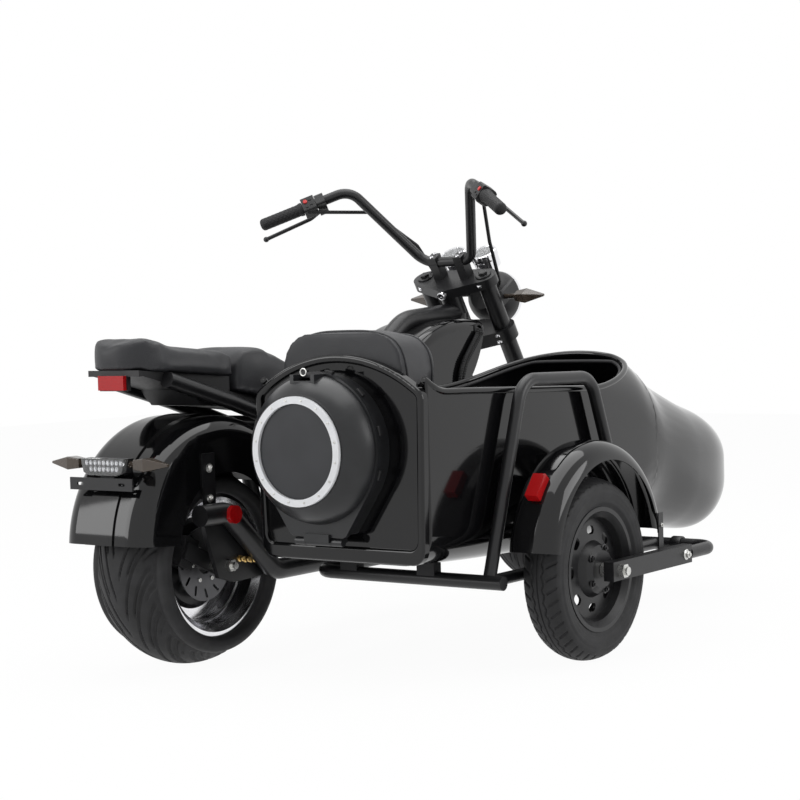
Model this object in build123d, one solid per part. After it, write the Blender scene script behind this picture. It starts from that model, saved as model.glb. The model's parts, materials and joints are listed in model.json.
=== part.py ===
from build123d import *
import os

# Electric motorcycle with a sidecar on its right-hand side, in millimetres.
# Modelled with X forward, Y left and Z up, the rear axle above X = 0 and the ground at Z = 0.
# The last lines move the whole so that the origin is under the middle of its bounding box.

# Wheels
WHEELBASE = 1565
RIM_LIP_R = 168
LIP_TALL = 18
RIM_BARREL_R = RIM_LIP_R - LIP_TALL
REAR_TYRE_R = RIM_LIP_R + 70
REAR_TYRE_WIDTH = 215
FRONT_TYRE_R = RIM_LIP_R + 68
FRONT_TYRE_WIDTH = 122
REAR_RIM_HALF = 96
FRONT_RIM_HALF = 50
SIDE_LIP_R = 144
SIDE_BARREL_R = SIDE_LIP_R - LIP_TALL
SIDE_TYRE_R = SIDE_LIP_R + 68
SIDE_TYRE_WIDTH = 100
SIDE_RIM_HALF = 42
AXLE_R = 8
RUNNING_PLAY = 0.05
SEAT_GAP = 0.3

# Steering head and front fork, measured from the front axle along and across the fork
RAKE = 32
FORK_OFFSET = 45
LEG_SPREAD = 100
OUTER_TUBE_R = 25
INNER_TUBE_R = 19
FORK_TOP = 800
LOWER_CLAMP_TOP = 632
CLAMP_DEPTH = 28
STEM_R = 14
HEAD_R = 30
BAR_R = 14
RISER_TALL = 50
BAR_HEIGHT = FORK_TOP + RISER_TALL

# Frame
RAIL_Y = 95
RAIL_Z = 212
RAIL_D = 38
BACKBONE_D = 54
ARM_Y = 150
ARM_D = 50
PIVOT_X = 430

# Sidecar
TUB_Y = -472
TUB_WALL = 6
TUB_REAR = 10
PANEL_T = 12
PANEL_X = TUB_REAR - PANEL_T
CHASSIS_D = 32
OUTER_RAIL_D = 28
CHASSIS_X = 170
INNER_RAIL_Y = -258
OUTER_RAIL_Y = -738
BAR_Y = -900
SIDE_AXLE_X = 460
SIDE_WHEEL_Y = -820
BOX_Y = -443
BOX_Z = 518
BOX_R = 167
BOX_FOOT_Z = 329

AXLE_LINE = Axis((0, 0, 0), (0, -1, 0))
REAR_HUB = (0, 0, REAR_TYRE_R)
SIDE_HUB = (SIDE_AXLE_X, SIDE_WHEEL_Y, SIDE_TYRE_R)
FORK = Pos(WHEELBASE, 0, FRONT_TYRE_R) * Rot(0, -RAKE, 0)


def tube(points, diameter, bend=0):
    """Round bar along straight runs that tangent arcs join."""
    path = FilletPolyline(*points, radius=bend) if bend else Line(*points)
    return sweep(Plane(origin=path @ 0, z_dir=path % 0) * Circle(diameter / 2), path=path)


def rod(start, end, radius):
    """Round rod between two points."""
    run = Vector(*end) - Vector(*start)
    return extrude(Plane(origin=start, z_dir=run) * Circle(radius), run.length)


def block(x, y, z):
    """Box between two values on each axis."""
    size = [abs(pair[1] - pair[0]) for pair in (x, y, z)]
    return Pos(*[sum(pair) / 2 for pair in (x, y, z)]) * Box(*size)


def turned(outline, centre=(0, 0, 0)):
    """Solid turned about an axle from (radius, offset along the axle) points."""
    return Pos(*centre) * revolve(make_face(Polyline(*outline, close=True)), Axis.Y)


def side_cut(outline, half_width):
    """Side outline of (x, z) points made as wide as twice the half width."""
    return extrude(Plane.XZ * make_face(Polyline(*outline, close=True)), half_width, both=True)


def other_side(shape):
    """The same shape on the other side of the centre plane."""
    return mirror(shape, about=Plane.XZ)


def both(shape):
    """The shape and its mirror image."""
    return [shape, other_side(shape)]


def spaced(count, radius, offset, tool):
    """Copies of a tool around an axle, its own Z axis along the axle."""
    step = 360 / count
    place = Pos(radius, offset, 0) * Rot(90, 0, 0)
    return [Rot(0, i * step, 0) * place * tool for i in range(count)]


LIP_EDGE = 2
LIP_ROOT = 8


def tyre(radius, width, bore, lip, half, drop, centre):
    """Tyre with a crowned tread, its beads against the slanted insides of the rim's lips."""
    shoulder = (radius - drop, 0.43 * width)
    widest = ((radius + lip) / 2, width / 2)
    edge = (lip, half - LIP_EDGE)
    bead = (bore, half - LIP_ROOT)
    right = [(r, -y) for r, y in (bead, edge, widest, shoulder)]
    lines = [
        Line(bead, right[0]),
        Line(right[0], right[1]),
        ThreePointArc(right[1], right[2], right[3]),
        ThreePointArc(right[3], (radius, 0), shoulder),
        ThreePointArc(shoulder, widest, edge),
        Line(edge, bead),
    ]
    return Pos(*centre) * revolve(make_face(lines), Axis.Y)


def rim(lip, bore, half, inside):
    """Rim turned about its axle; inside is its inner outline from the left lip to the right one."""
    left = [(bore, half - LIP_ROOT), (lip, half - LIP_EDGE), (lip, half), (lip - 10, half)]
    right = [(r, -y) for r, y in reversed(left)]
    return turned(left + inside + right)


def channel(top, low, half, corner, wall):
    """Mudguard section on (radius, offset) axes: a crown with round shoulders and two sides."""
    tall = top - low + 2 * corner
    outer = Pos(top - tall / 2, 0) * RectangleRounded(tall, 2 * half, corner)
    inner_shape = RectangleRounded(tall, 2 * (half - wall), corner - wall)
    inner = Pos(top - wall - tall / 2, 0) * inner_shape
    below = Pos(low - tall, 0) * Rectangle(2 * tall, 4 * half)
    return outer - inner - below


def arch(section, start, end):
    """Section turned about an axle between two angles, 0 forward and 90 up."""
    return Rot(0, -start, 0) * revolve(section, AXLE_LINE, end - start)


parts = {}

# Rear wheel: wide tyre, deep alloy rim on a hub motor, slotted brake disc on the right
MOTOR_R = RIM_BARREL_R - 42
HUB_FACE = 52
DISC_R = MOTOR_R - 20
DISC_T = 4
axle_bore = AXLE_R + RUNNING_PLAY
rear_inside = [
    (RIM_BARREL_R - 7, REAR_RIM_HALF - 14),
    (RIM_BARREL_R - 14, 34),
    (MOTOR_R, 30),
    (MOTOR_R, -18),
    (RIM_BARREL_R - 18, -20),
    (RIM_BARREL_R - 16, -44),
    (RIM_BARREL_R - 11, -46),
    (RIM_BARREL_R - 7, 14 - REAR_RIM_HALF),
]
motor = [
    (axle_bore, -HUB_FACE),
    (46, -HUB_FACE),
    (46, -34),
    (MOTOR_R - 10, -26),
    (MOTOR_R, -18),
    (MOTOR_R, 30),
    (MOTOR_R - 6, 58),
    (60, 70),
    (34, 70),
    (34, 80),
    (axle_bore, 80),
]
rear_tyre_form = (REAR_TYRE_R, REAR_TYRE_WIDTH, RIM_BARREL_R, RIM_LIP_R, REAR_RIM_HALF, 10)
parts["rear_tyre"] = tyre(*rear_tyre_form, REAR_HUB)
parts["rear_rim"] = Pos(*REAR_HUB) * rim(RIM_LIP_R, RIM_BARREL_R, REAR_RIM_HALF, rear_inside)
parts["hub_motor"] = turned(motor, REAR_HUB)
disc_outline = [(24, 0), (DISC_R, 0), (DISC_R, DISC_T), (24, DISC_T)]
slot = SlotOverall(24, 7, rotation=20)
disc_slots = spaced(12, DISC_R - 18, DISC_T / 2, extrude(slot, DISC_T, both=True))
rear_disc = turned(disc_outline) - disc_slots
parts["rear_brake_disc"] = Pos(0, -HUB_FACE - DISC_T, REAR_TYRE_R) * rear_disc

# Front wheel: narrower tyre, five-spoke alloy wheel, brake disc on the left
HUB_R = 34
FRONT_HUB_HALF = 48
front_inside = [
    (RIM_BARREL_R - 7, FRONT_RIM_HALF - 14),
    (RIM_BARREL_R - 12, 0),
    (RIM_BARREL_R - 7, 14 - FRONT_RIM_HALF),
]
front_rim = rim(RIM_LIP_R, RIM_BARREL_R, FRONT_RIM_HALF, front_inside)
hub = [(axle_bore, -FRONT_HUB_HALF), (HUB_R, -FRONT_HUB_HALF)]
front_hub = turned(hub + [(r, -y) for r, y in reversed(hub)])
spoke_root = Plane.YZ.offset(HUB_R - 6) * RectangleRounded(46, 34, 8)
spoke_tip = Plane.YZ.offset(RIM_BARREL_R - 9) * RectangleRounded(30, 24, 6)
spoke = loft([spoke_root, spoke_tip])
for i in range(5):
    front_hub = front_hub + Rot(0, 72 * i, 0) * spoke
FRONT_DISC_R = 110
front_disc_face = [(30, 0), (FRONT_DISC_R, 0), (FRONT_DISC_R, DISC_T), (30, DISC_T)]
front_slots = spaced(12, FRONT_DISC_R - 22, DISC_T / 2, extrude(slot, DISC_T, both=True))
front_disc = turned(front_disc_face) - front_slots
front_tyre_form = (FRONT_TYRE_R, FRONT_TYRE_WIDTH, RIM_BARREL_R, RIM_LIP_R, FRONT_RIM_HALF, 22)
parts["front_tyre"] = FORK * tyre(*front_tyre_form, (0, 0, 0))
parts["front_rim"] = FORK * (front_rim + front_hub)
parts["front_brake_disc"] = FORK * Pos(0, FRONT_HUB_HALF, 0) * front_disc

# Sidecar wheel: small pressed steel wheel with a domed hub and a ring of vent holes
SIDE_AXLE_R = 10
SIDE_HUB_HALF = 46
side_bore = SIDE_AXLE_R + RUNNING_PLAY
side_inside = [
    (SIDE_BARREL_R - 6, SIDE_RIM_HALF - 12),
    (SIDE_BARREL_R - 9, -6),
    (SIDE_BARREL_R - 64, -12),
    (SIDE_BARREL_R - 68, 24),
    (40, SIDE_HUB_HALF),
    (side_bore, SIDE_HUB_HALF),
    (side_bore, -SIDE_HUB_HALF),
    (44, -SIDE_HUB_HALF),
    (56, -36),
    (SIDE_BARREL_R - 60, -18),
    (SIDE_BARREL_R - 10, -12),
    (SIDE_BARREL_R - 6, 12 - SIDE_RIM_HALF),
]
vent = extrude(SlotOverall(30, 20, rotation=90), 30, both=True)
side_wheel = rim(SIDE_LIP_R, SIDE_BARREL_R, SIDE_RIM_HALF, side_inside)
side_wheel = side_wheel - spaced(8, SIDE_BARREL_R - 36, 0, vent)
side_tyre_form = (SIDE_TYRE_R, SIDE_TYRE_WIDTH, SIDE_BARREL_R, SIDE_LIP_R, SIDE_RIM_HALF, 14)
parts["sidecar_tyre"] = tyre(*side_tyre_form, SIDE_HUB)
parts["sidecar_wheel_disc"] = Pos(*SIDE_HUB) * side_wheel

# Main frame: steering head with a backbone, and twin rails that pass under the battery
head_line = -FORK_OFFSET
HEAD_GAP = 1.5
head_low = LOWER_CLAMP_TOP + HEAD_GAP
head_high = FORK_TOP - CLAMP_DEPTH - HEAD_GAP
head_tube = FORK * rod((head_line, 0, head_low), (head_line, 0, head_high), HEAD_R)
head_bore = FORK * rod((head_line, 0, 0), (head_line, 0, FORK_TOP), STEM_R + RUNNING_PLAY)
SHOCK_TOP = (320, 475)
SEAT_POST = (300, 540)
POST_FOOT = (400, RAIL_Z)
TAIL_X = -150
rail_points = [
    (1156, -15, 806),
    (1010, -RAIL_Y, RAIL_Z),
    (POST_FOOT[0], -RAIL_Y, POST_FOOT[1]),
    (SEAT_POST[0], -RAIL_Y, SEAT_POST[1]),
    (60, -RAIL_Y, 618),
    (TAIL_X, -RAIL_Y, 678),
]
rail = tube(rail_points, RAIL_D, 75)
rail = rail + rod((SHOCK_TOP[0], -RAIL_Y, SHOCK_TOP[1]), (SHOCK_TOP[0], -ARM_Y - 8, SHOCK_TOP[1]), 9)
cradle = rail + other_side(rail)
cross_bars = [(PIVOT_X, RAIL_Z, ARM_Y + 30), (250, 556, RAIL_Y), (960, RAIL_Z, RAIL_Y)]
for x, z, half in cross_bars:
    cradle = cradle + rod((x, -half, z), (x, half, z), 16)
spine_points = [(1150, 0, 814), (895, 0, 794), (600, 0, 600), (250, 0, 556)]
backbone = tube(spine_points, BACKBONE_D, 140)
cradle = cradle - head_tube - head_bore
parts["frame_cradle"] = cradle
parts["frame_backbone"] = head_tube + backbone - head_bore - cradle

# Swinging arm in two halves, each a bent tube with a plate that holds the rear axle
AXLE_PLATE_Y = 118
AXLE_PLATE_T = 12
ARM_RISE = 127
arm_high = REAR_TYRE_R + ARM_RISE
arm_points = [(-115, arm_high), (-22, arm_high), (140, RAIL_Z), (PIVOT_X, RAIL_Z)]
arm = tube([(x, -ARM_Y, z) for x, z in arm_points], ARM_D, 55)
plate_points = [(-84, 114), (-24, 114), (122, -22), (122, -38), (20, -42), (-34, -26), (-52, 24)]
plate_outline = [(x, REAR_TYRE_R + z) for x, z in plate_points]
arm_plate = Pos(0, -AXLE_PLATE_Y - AXLE_PLATE_T / 2, 0) * side_cut(plate_outline, AXLE_PLATE_T / 2)
pivot_eye = rod((PIVOT_X, 22 - ARM_Y, RAIL_Z), (PIVOT_X, -22 - ARM_Y, RAIL_Z), 30)
axle_hole = rod((0, 200, REAR_TYRE_R), (0, -200, REAR_TYRE_R), AXLE_R + SEAT_GAP)
arm = arm + arm_plate + pivot_eye - axle_hole - cradle
parts["swing_arm_right"] = arm
parts["swing_arm_left"] = other_side(arm)

# Rear axle with its spacers and nuts
SPACER_R = 14
AXLE_PLAY = 1
nut_face = AXLE_PLATE_Y + AXLE_PLATE_T
axle_outline = [
    (0, -nut_face - 24),
    (AXLE_R, -nut_face - 24),
    (AXLE_R, -AXLE_PLATE_Y),
    (SPACER_R, -AXLE_PLATE_Y),
    (SPACER_R, -HUB_FACE - AXLE_PLAY),
    (AXLE_R, -HUB_FACE - AXLE_PLAY),
    (AXLE_R, 80 + AXLE_PLAY),
    (SPACER_R, 80 + AXLE_PLAY),
    (SPACER_R, AXLE_PLATE_Y),
    (AXLE_R, AXLE_PLATE_Y),
    (AXLE_R, nut_face + 24),
    (0, nut_face + 24),
]
nut = Plane.XZ.offset(nut_face) * RegularPolygon(15, 6)
rear_nut = Pos(0, 0, REAR_TYRE_R) * extrude(nut, 14)
parts["rear_axle"] = turned(axle_outline, REAR_HUB) + both(rear_nut)

# Rear brake caliper on a torque arm that hangs on the axle spacer
PAD_GAP = 5
disc_mid = -HUB_FACE - DISC_T / 2
pad_half = DISC_T / 2 + PAD_GAP
caliper = block((-104, -60), (disc_mid - 22, disc_mid + 20), (-36, 36))
caliper = caliper - block((-DISC_R - PAD_GAP, 0), (disc_mid - pad_half, disc_mid + pad_half), (-60, 60))
torque_arm = block((-100, 20), (disc_mid - 30, disc_mid - 22), (-20, 20))
caliper = caliper + torque_arm - rod((0, 0, 0), (0, -200, 0), SPACER_R)
parts["rear_caliper"] = Pos(*REAR_HUB) * Rot(0, 25, 0) * caliper

# Rear spring legs: coils drawn as a stack of rings on a damper
shock_foot = Vector(215, -ARM_Y + 6, RAIL_Z + ARM_D / 2 + 12)
shock_head = Vector(SHOCK_TOP[0], -ARM_Y + 6, SHOCK_TOP[1])
shock_run = shock_head - shock_foot
COILS = 9
coil_pitch = (shock_run.length - 70) / COILS
shock_outline = [(0, 0), (12, 0), (12, 32)]
for i in range(COILS):
    low = 35 + i * coil_pitch
    shock_outline += [(15, low), (23, low + 0.35 * coil_pitch), (15, low + 0.7 * coil_pitch)]
shock_outline += [(12, shock_run.length - 32), (12, shock_run.length), (0, shock_run.length)]
shock_body = revolve(Plane.XZ * make_face(Polyline(*shock_outline, close=True)), Axis.Z)
shock = Plane(origin=shock_foot, z_dir=shock_run) * shock_body
for end in (shock_foot, shock_head):
    shock = shock + rod((end.X, end.Y + 14, end.Z), (end.X, end.Y - 14, end.Z), 17)
parts["rear_shocks"] = both(shock - cradle - arm)

# Rear mudguard with a raised band along its crown, held by two stays on each side
GUARD_X = 10
GUARD_Z = 290
GUARD_R = REAR_TYRE_R + 59
GUARD_HALF = 128
GUARD_WALL = 3
BAND_T = 4
guard_section = channel(GUARD_R, GUARD_R - 132, GUARD_HALF, 50, GUARD_WALL)
guard_section = guard_section + Pos(GUARD_R + BAND_T / 2 - 1, 0) * Rectangle(BAND_T + 2, 84)
rear_guard = Pos(GUARD_X, 0, GUARD_Z) * arch(guard_section, 24, 176)
parts["rear_mudguard"] = rear_guard
STAY_T = 5
stay = block((-80, -40), (-GUARD_HALF - STAY_T, -GUARD_HALF), (arm_high - 5, 505))
parts["mudguard_stays"] = both(stay - arm)

# Tail lamp, rear indicators and number plate holder on a bracket behind the mudguard
LAMP_X = -255
LAMP_Z = 486
LAMP_TALL = 38
lamp_bracket = block((LAMP_X + 18, -180), (-30, 30), (LAMP_Z - 14, LAMP_Z + 8))
guard_drum = rod((GUARD_X, -200, GUARD_Z), (GUARD_X, 200, GUARD_Z), GUARD_R + BAND_T)
PLATE_X = -272
PLATE_Z = 448
PLATE_T = 4
plate_bar = block((PLATE_X - PLATE_T, PLATE_X), (-98, 98), (PLATE_Z - 14, PLATE_Z + 14))
plate_bar = plate_bar + block((PLATE_X, LAMP_X + PLATE_T), (-22, 22), (PLATE_Z - PLATE_T, PLATE_Z))
plate_bar = plate_bar + block((LAMP_X, LAMP_X + PLATE_T), (-22, 22), (PLATE_Z, LAMP_Z - LAMP_TALL / 2))
PLATE_HOLES = 130
SLOT_LENGTH = 20
SLOT_WIDTH = 7
for y in (-PLATE_HOLES / 2, PLATE_HOLES / 2):
    slot_face = Plane.YZ.offset(PLATE_X) * Pos(y, PLATE_Z) * SlotOverall(SLOT_LENGTH, SLOT_WIDTH)
    plate_bar = plate_bar - extrude(slot_face, 3 * PLATE_T, both=True)
LAMP_HALF = 68
lamp_half = [(LAMP_HALF, LAMP_TALL / 2), (LAMP_HALF - 8, -12), (LAMP_HALF - 24, -LAMP_TALL / 2)]
lamp_outline = lamp_half + [(-y, z) for y, z in reversed(lamp_half)]
lamp_face = Plane.YZ.offset(LAMP_X) * Pos(0, LAMP_Z) * make_face(Polyline(*lamp_outline, close=True))
lamp_case = extrude(lamp_face, 18)
parts["tail_lamp_lens"] = extrude(lamp_face, -14)
parts["lamp_bracket"] = lamp_case + lamp_bracket - guard_drum
parts["plate_holder"] = plate_bar


def indicator(width, place):
    """Pointed indicator lamp that reaches out along -Y."""
    sizes = [(0, 26, 22), (0.35, 34, 30), (1, 8, 6)]
    faces = [Plane.XZ.offset(width * f) * RectangleRounded(a, b, 2.5) for f, a, b in sizes]
    return place * loft(faces, ruled=True)


blinker_x = LAMP_X + 9
blinker_z = LAMP_Z + 6
stalk_end = -LAMP_HALF - 18
rear_blinker = indicator(96, Pos(blinker_x, stalk_end, blinker_z))
rear_stalk = rod((blinker_x, 10 - LAMP_HALF, blinker_z), (blinker_x, stalk_end, blinker_z), 7)
parts["rear_indicators"] = both(rear_blinker + rear_stalk - lamp_case)

# Seats, and the tray below them that the rails carry
SEAT_HALF = 105
TRAY_END = -224
tray_outline = [
    (330, 575),
    (330, 612),
    (80, 640),
    (80, 676),
    (TRAY_END, 702),
    (TRAY_END, 655),
    (TRAY_END + 10, 655),
    (TRAY_END + 10, 689),
    (-60, 650),
    (-20, 612),
    (90, 604),
]
REFLECTOR_HALF = 40
tail_side = block((TRAY_END, TRAY_END + 12), (-SEAT_HALF, -REFLECTOR_HALF - 4), (640, 688))
tray = side_cut(tray_outline, SEAT_HALF - 25) - cradle - backbone - both(tail_side)
parts["seat_tray"] = tray
pillion_outline = [(78, 676), (78, 732), (-120, 752), (-200, 776), (-244, 764), (-244, 704)]
pillion_plan = Pos(-30, 0) * Rectangle(220, 2 * SEAT_HALF) + Pos(-140, 0) * Circle(SEAT_HALF)
pillion = side_cut(pillion_outline, 200) & extrude(Pos(0, 0, 500) * pillion_plan, 400)
parts["pillion_seat"] = pillion - tray - cradle
rider_outline = [
    (84, 640),
    (84, 705),
    (112, 742),
    (170, 744),
    (320, 676),
    (440, 655),
    (570, 672),
    (672, 742),
    (716, 700),
    (600, 618),
    (330, 600),
]
rider_side = [(84, 100), (250, 135), (420, 128), (716, 84)]
rider_plan = Polyline(*rider_side, *[(x, -y) for x, y in reversed(rider_side)], close=True)
rider = side_cut(rider_outline, 200) & extrude(Pos(0, 0, 400) * make_face(rider_plan), 500)
rider = rider - tray - backbone - cradle
parts["rider_seat"] = rider

# Battery between the rails, and the tank-shaped cover that sits astride the backbone
BATTERY_TOP = 546
rail_top = RAIL_Z + RAIL_D / 2
battery_half = RAIL_Y - RAIL_D / 2 - 2
battery = block((470, 950), (-battery_half, battery_half), (rail_top, BATTERY_TOP))
battery = battery + block((480, 930), (-RAIL_Y - 17, RAIL_Y + 17), (rail_top, rail_top + 8))
battery = battery + block((490, 930), (-RAIL_Y - 9, RAIL_Y + 9), (rail_top + 69, BATTERY_TOP - 26))
parts["battery_case"] = battery - cradle - backbone
TANK_HALF = 118
tank_lines = [
    Line((700, BATTERY_TOP), (900, BATTERY_TOP)),
    ThreePointArc((900, BATTERY_TOP), (1040, 630), (1110, 760)),
    Line((1110, 760), (1110, 790)),
    ThreePointArc((1110, 790), (930, 782), (720, 672)),
    Line((720, 672), (700, BATTERY_TOP)),
]
tank = extrude(Plane.XZ * make_face(tank_lines), TANK_HALF, both=True)
tank = fillet(tank.edges().filter_by(GeomType.CIRCLE).group_by(Axis.Z)[-1], 30)
tank_clear = FORK * rod((head_line, 0, 300), (head_line, 0, 900), HEAD_R + 40)
parts["tank_cover"] = tank - backbone - cradle - rider - tank_clear

# Foot pegs on uprights that stand on the rails
PEG_X = 780
upright = block((PEG_X - 16, PEG_X + 16), (-RAIL_Y - 20, -RAIL_Y - 8), (RAIL_Z, 290))
PEG_END = 212
peg = upright + rod((PEG_X, -RAIL_Y - 10, 275), (PEG_X, -PEG_END, 275), 16)
parts["foot_pegs"] = both(peg - cradle - battery)

# Sidecar chassis: a tube loop under the tub that runs on round the front of the wheel
LOOP_X = 945
BAR_FRONT = 805
CHASSIS_BEND = 48
chassis_points = [
    (CHASSIS_X, OUTER_RAIL_Y - 46),
    (CHASSIS_X, INNER_RAIL_Y),
    (LOOP_X, INNER_RAIL_Y),
    (LOOP_X, BAR_Y),
    (BAR_FRONT, BAR_Y),
]
chassis_z = SIDE_TYRE_R
chassis = tube([(x, y, chassis_z) for x, y in chassis_points], CHASSIS_D, CHASSIS_BEND)
rail_rear = (CHASSIS_X, OUTER_RAIL_Y, chassis_z)
rail_front = (LOOP_X, OUTER_RAIL_Y, chassis_z)
chassis = chassis + rod(rail_rear, rail_front, OUTER_RAIL_D / 2)


def on_axle(y):
    """Point on the sidecar wheel's axle line."""
    return (SIDE_AXLE_X, y, chassis_z)


side_axle_hole = rod(on_axle(0), on_axle(-1100), SIDE_AXLE_R + SEAT_GAP)
chassis = chassis - side_axle_hole
parts["sidecar_chassis"] = chassis
BAR_T = 26
BAR_TALL = 44
bar_in = BAR_Y + BAR_T / 2
bar_out = BAR_Y - BAR_T / 2
bar_tall = (chassis_z - BAR_TALL / 2, chassis_z + BAR_TALL / 2)
outer_bar = block((SIDE_AXLE_X - 32, BAR_FRONT), (bar_out, bar_in), bar_tall)
parts["sidecar_axle_bar"] = outer_bar - side_axle_hole
hub_in = SIDE_WHEEL_Y + SIDE_HUB_HALF + AXLE_PLAY
hub_out = SIDE_WHEEL_Y - SIDE_HUB_HALF - AXLE_PLAY
side_axle = rod(on_axle(OUTER_RAIL_Y + 40), on_axle(BAR_Y - 34), SIDE_AXLE_R)
side_axle = side_axle + rod(on_axle(hub_in), on_axle(OUTER_RAIL_Y), 16)
side_axle = side_axle + rod(on_axle(hub_out), on_axle(bar_in), 16)
side_nut = Pos(*on_axle(bar_out)) * extrude(Plane.XZ * RegularPolygon(17, 6), 14)
parts["sidecar_axle"] = side_axle + side_nut - chassis

# Links that tie the sidecar chassis to the motorcycle frame
link_ends = [
    ((900, -RAIL_Y, RAIL_Z), (860, INNER_RAIL_Y, chassis_z)),
    ((660, -RAIL_Y, RAIL_Z), (580, INNER_RAIL_Y, chassis_z)),
    ((330, -RAIL_Y, 430), (440, INNER_RAIL_Y, chassis_z)),
]
links = [rod(start, end, 13) - cradle - chassis for start, end in link_ends]
parts["sidecar_links"] = links

# Sidecar tub: a lofted shell with a rounded nose, open at the top along the rim line
TUB_FLOOR = 238
tub_sections = [
    # x, half width, bottom, top, corner radius
    (TUB_REAR, 232, 262, 722, 70),
    (300, 237, 246, 724, 90),
    (600, 239, TUB_FLOOR, 726, 105),
    (900, 234, 234, 718, 150),
    (1020, 230, 231, 698, 190),
    (1130, 220, 226, 644, 196),
    (1320, 200, 204, 566, 150),
    (1480, 172, 186, 522, 124),
    (1600, 130, 216, 486, 106),
    (1655, 84, 276, 456, 76),
    (1676, 46, 326, 424, 42),
]
STEPS_PER_SECTION = 3


def smooth_rows(table, steps):
    """Rows of a table with further rows between them, each column on a smooth curve."""
    rows = []
    for k in range(len(table) - 1):
        row_set = zip(table[max(k - 1, 0)], table[k], table[k + 1], table[min(k + 2, len(table) - 1)])
        columns = list(row_set)
        for step in range(steps):
            u = step / steps
            row = []
            for a, b, c, d in columns:
                bend = (2 * a - 5 * b + 4 * c - d) * u**2 + (3 * b - a - 3 * c + d) * u**3
                row.append(b + ((c - a) * u + bend) / 2)
            rows.append(row)
    return rows + [table[-1]]


def tub_form(wall):
    """Loft through the tub's sections, each drawn in by the wall."""
    faces = []
    for x, half, low, high, corner in smooth_rows(tub_sections, STEPS_PER_SECTION):
        at = Plane(origin=(x, TUB_Y, (low + high) / 2), x_dir=(0, 1, 0), z_dir=(1, 0, 0))
        faces.append(at * RectangleRounded(2 * (half - wall), high - low - 2 * wall, corner - wall))
    return loft(faces, ruled=True)


rim_line = [
    Line((-300, 672), (TUB_REAR, 672)),
    ThreePointArc((TUB_REAR, 672), (45, 650), (110, 641)),
    Line((110, 641), (720, 619)),
    ThreePointArc((720, 619), (950, 664), (1090, 724)),
    Line((1090, 724), (1090, 900)),
    Line((1090, 900), (-300, 900)),
    Line((-300, 900), (-300, 672)),
]
above_rim = Pos(0, TUB_Y, 0) * extrude(Plane.XZ * make_face(rim_line), 400, both=True)
tub_inside = Pos(-TUB_WALL, 0, 0) * tub_form(TUB_WALL)
tub_outside = tub_form(0)
tub = tub_outside - tub_inside - above_rim
parts["sidecar_tub"] = tub
PAD_HALF = 14
pads = []
for x in (CHASSIS_X, LOOP_X):
    for y in (TUB_Y - 110, TUB_Y + 110):
        pad = block((x - PAD_HALF, x + PAD_HALF), (y - 24, y + 24), (chassis_z, chassis_z + 110))
        pads.append(pad - tub_outside - chassis)
parts["sidecar_pads"] = pads
PANEL_HALF = 236
PANEL_LOW = 266
PANEL_SIDE = 640
PANEL_TOP = 725
RIM_BAND = 18
RIM_RAISE = 9
SILL = 34
panel_lines = [
    Line((8 - PANEL_HALF, PANEL_LOW), (PANEL_HALF - 8, PANEL_LOW)),
    Line((PANEL_HALF - 8, PANEL_LOW), (PANEL_HALF, PANEL_SIDE)),
    ThreePointArc((PANEL_HALF, PANEL_SIDE), (0, PANEL_TOP), (-PANEL_HALF, PANEL_SIDE)),
    Line((-PANEL_HALF, PANEL_SIDE), (8 - PANEL_HALF, PANEL_LOW)),
]
panel_sheet = make_face(panel_lines)
panel_sheet = fillet(panel_sheet.vertices(), 34)
recess = offset(panel_sheet, -RIM_BAND) - Pos(0, PANEL_LOW) * Rectangle(600, 2 * SILL)
recess = fillet(recess.vertices().group_by(Axis.Y)[0], 22)
on_panel = Plane.YZ.offset(PANEL_X) * Pos(TUB_Y, 0)
panel = extrude(on_panel * panel_sheet, PANEL_T)
panel_rim = extrude(on_panel * (panel_sheet - recess), -RIM_RAISE)
panel_rim = fillet(panel_rim.faces().sort_by(Axis.X)[0].edges(), 6)
parts["sidecar_rear_panel"] = panel + panel_rim

# Sidecar seat: a base cushion on the floor and a tall back against the rear panel
floor_z = TUB_FLOOR + TUB_WALL
CUSHION_TOP = 400
CUSHION_FRONT = 640
cushion_side = (TUB_Y - 200, TUB_Y + 200)
cushion = block((TUB_REAR, CUSHION_FRONT), cushion_side, (floor_z, CUSHION_TOP)) & tub_inside
parts["sidecar_seat_base"] = cushion
back_plan = Pos(TUB_Y, 588) * RectangleRounded(340, 376, 80)
back_face = Plane.YZ.offset(TUB_REAR) * back_plan
parts["sidecar_seat_back"] = extrude(back_face, 150)

# Sidecar grab hoop, standing on the outer rail
HOOP_D = 30
hoop_points = [(181, chassis_z), (337, 654), (640, 648), (817, chassis_z)]
hoop = tube([(x, OUTER_RAIL_Y, z) for x, z in hoop_points], HOOP_D, 70)
parts["sidecar_hoop"] = hoop - chassis

# Sidecar mudguard on two stays from the chassis
SIDE_GUARD_X = 472
SIDE_GUARD_Z = SIDE_TYRE_R + 28
SIDE_GUARD_R = SIDE_TYRE_R + 56
SIDE_GUARD_HALF = 64
side_section = channel(SIDE_GUARD_R, SIDE_GUARD_R - 44, SIDE_GUARD_HALF, 46, GUARD_WALL)
side_guard = Pos(SIDE_GUARD_X, SIDE_WHEEL_Y, SIDE_GUARD_Z) * arch(side_section, 8, 172)
guard_in = SIDE_WHEEL_Y + SIDE_GUARD_HALF
side_stay = block((500, 540), (guard_in, guard_in + 4), (chassis_z, SIDE_GUARD_Z + 230))
guard_out = SIDE_WHEEL_Y - SIDE_GUARD_HALF
front_stay = block((690, 712), (bar_in, guard_out), (chassis_z - 15, SIDE_GUARD_Z + 80))
parts["sidecar_mudguard"] = side_guard
parts["sidecar_guard_stays"] = [side_stay - chassis - hoop, front_stay]

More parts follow.
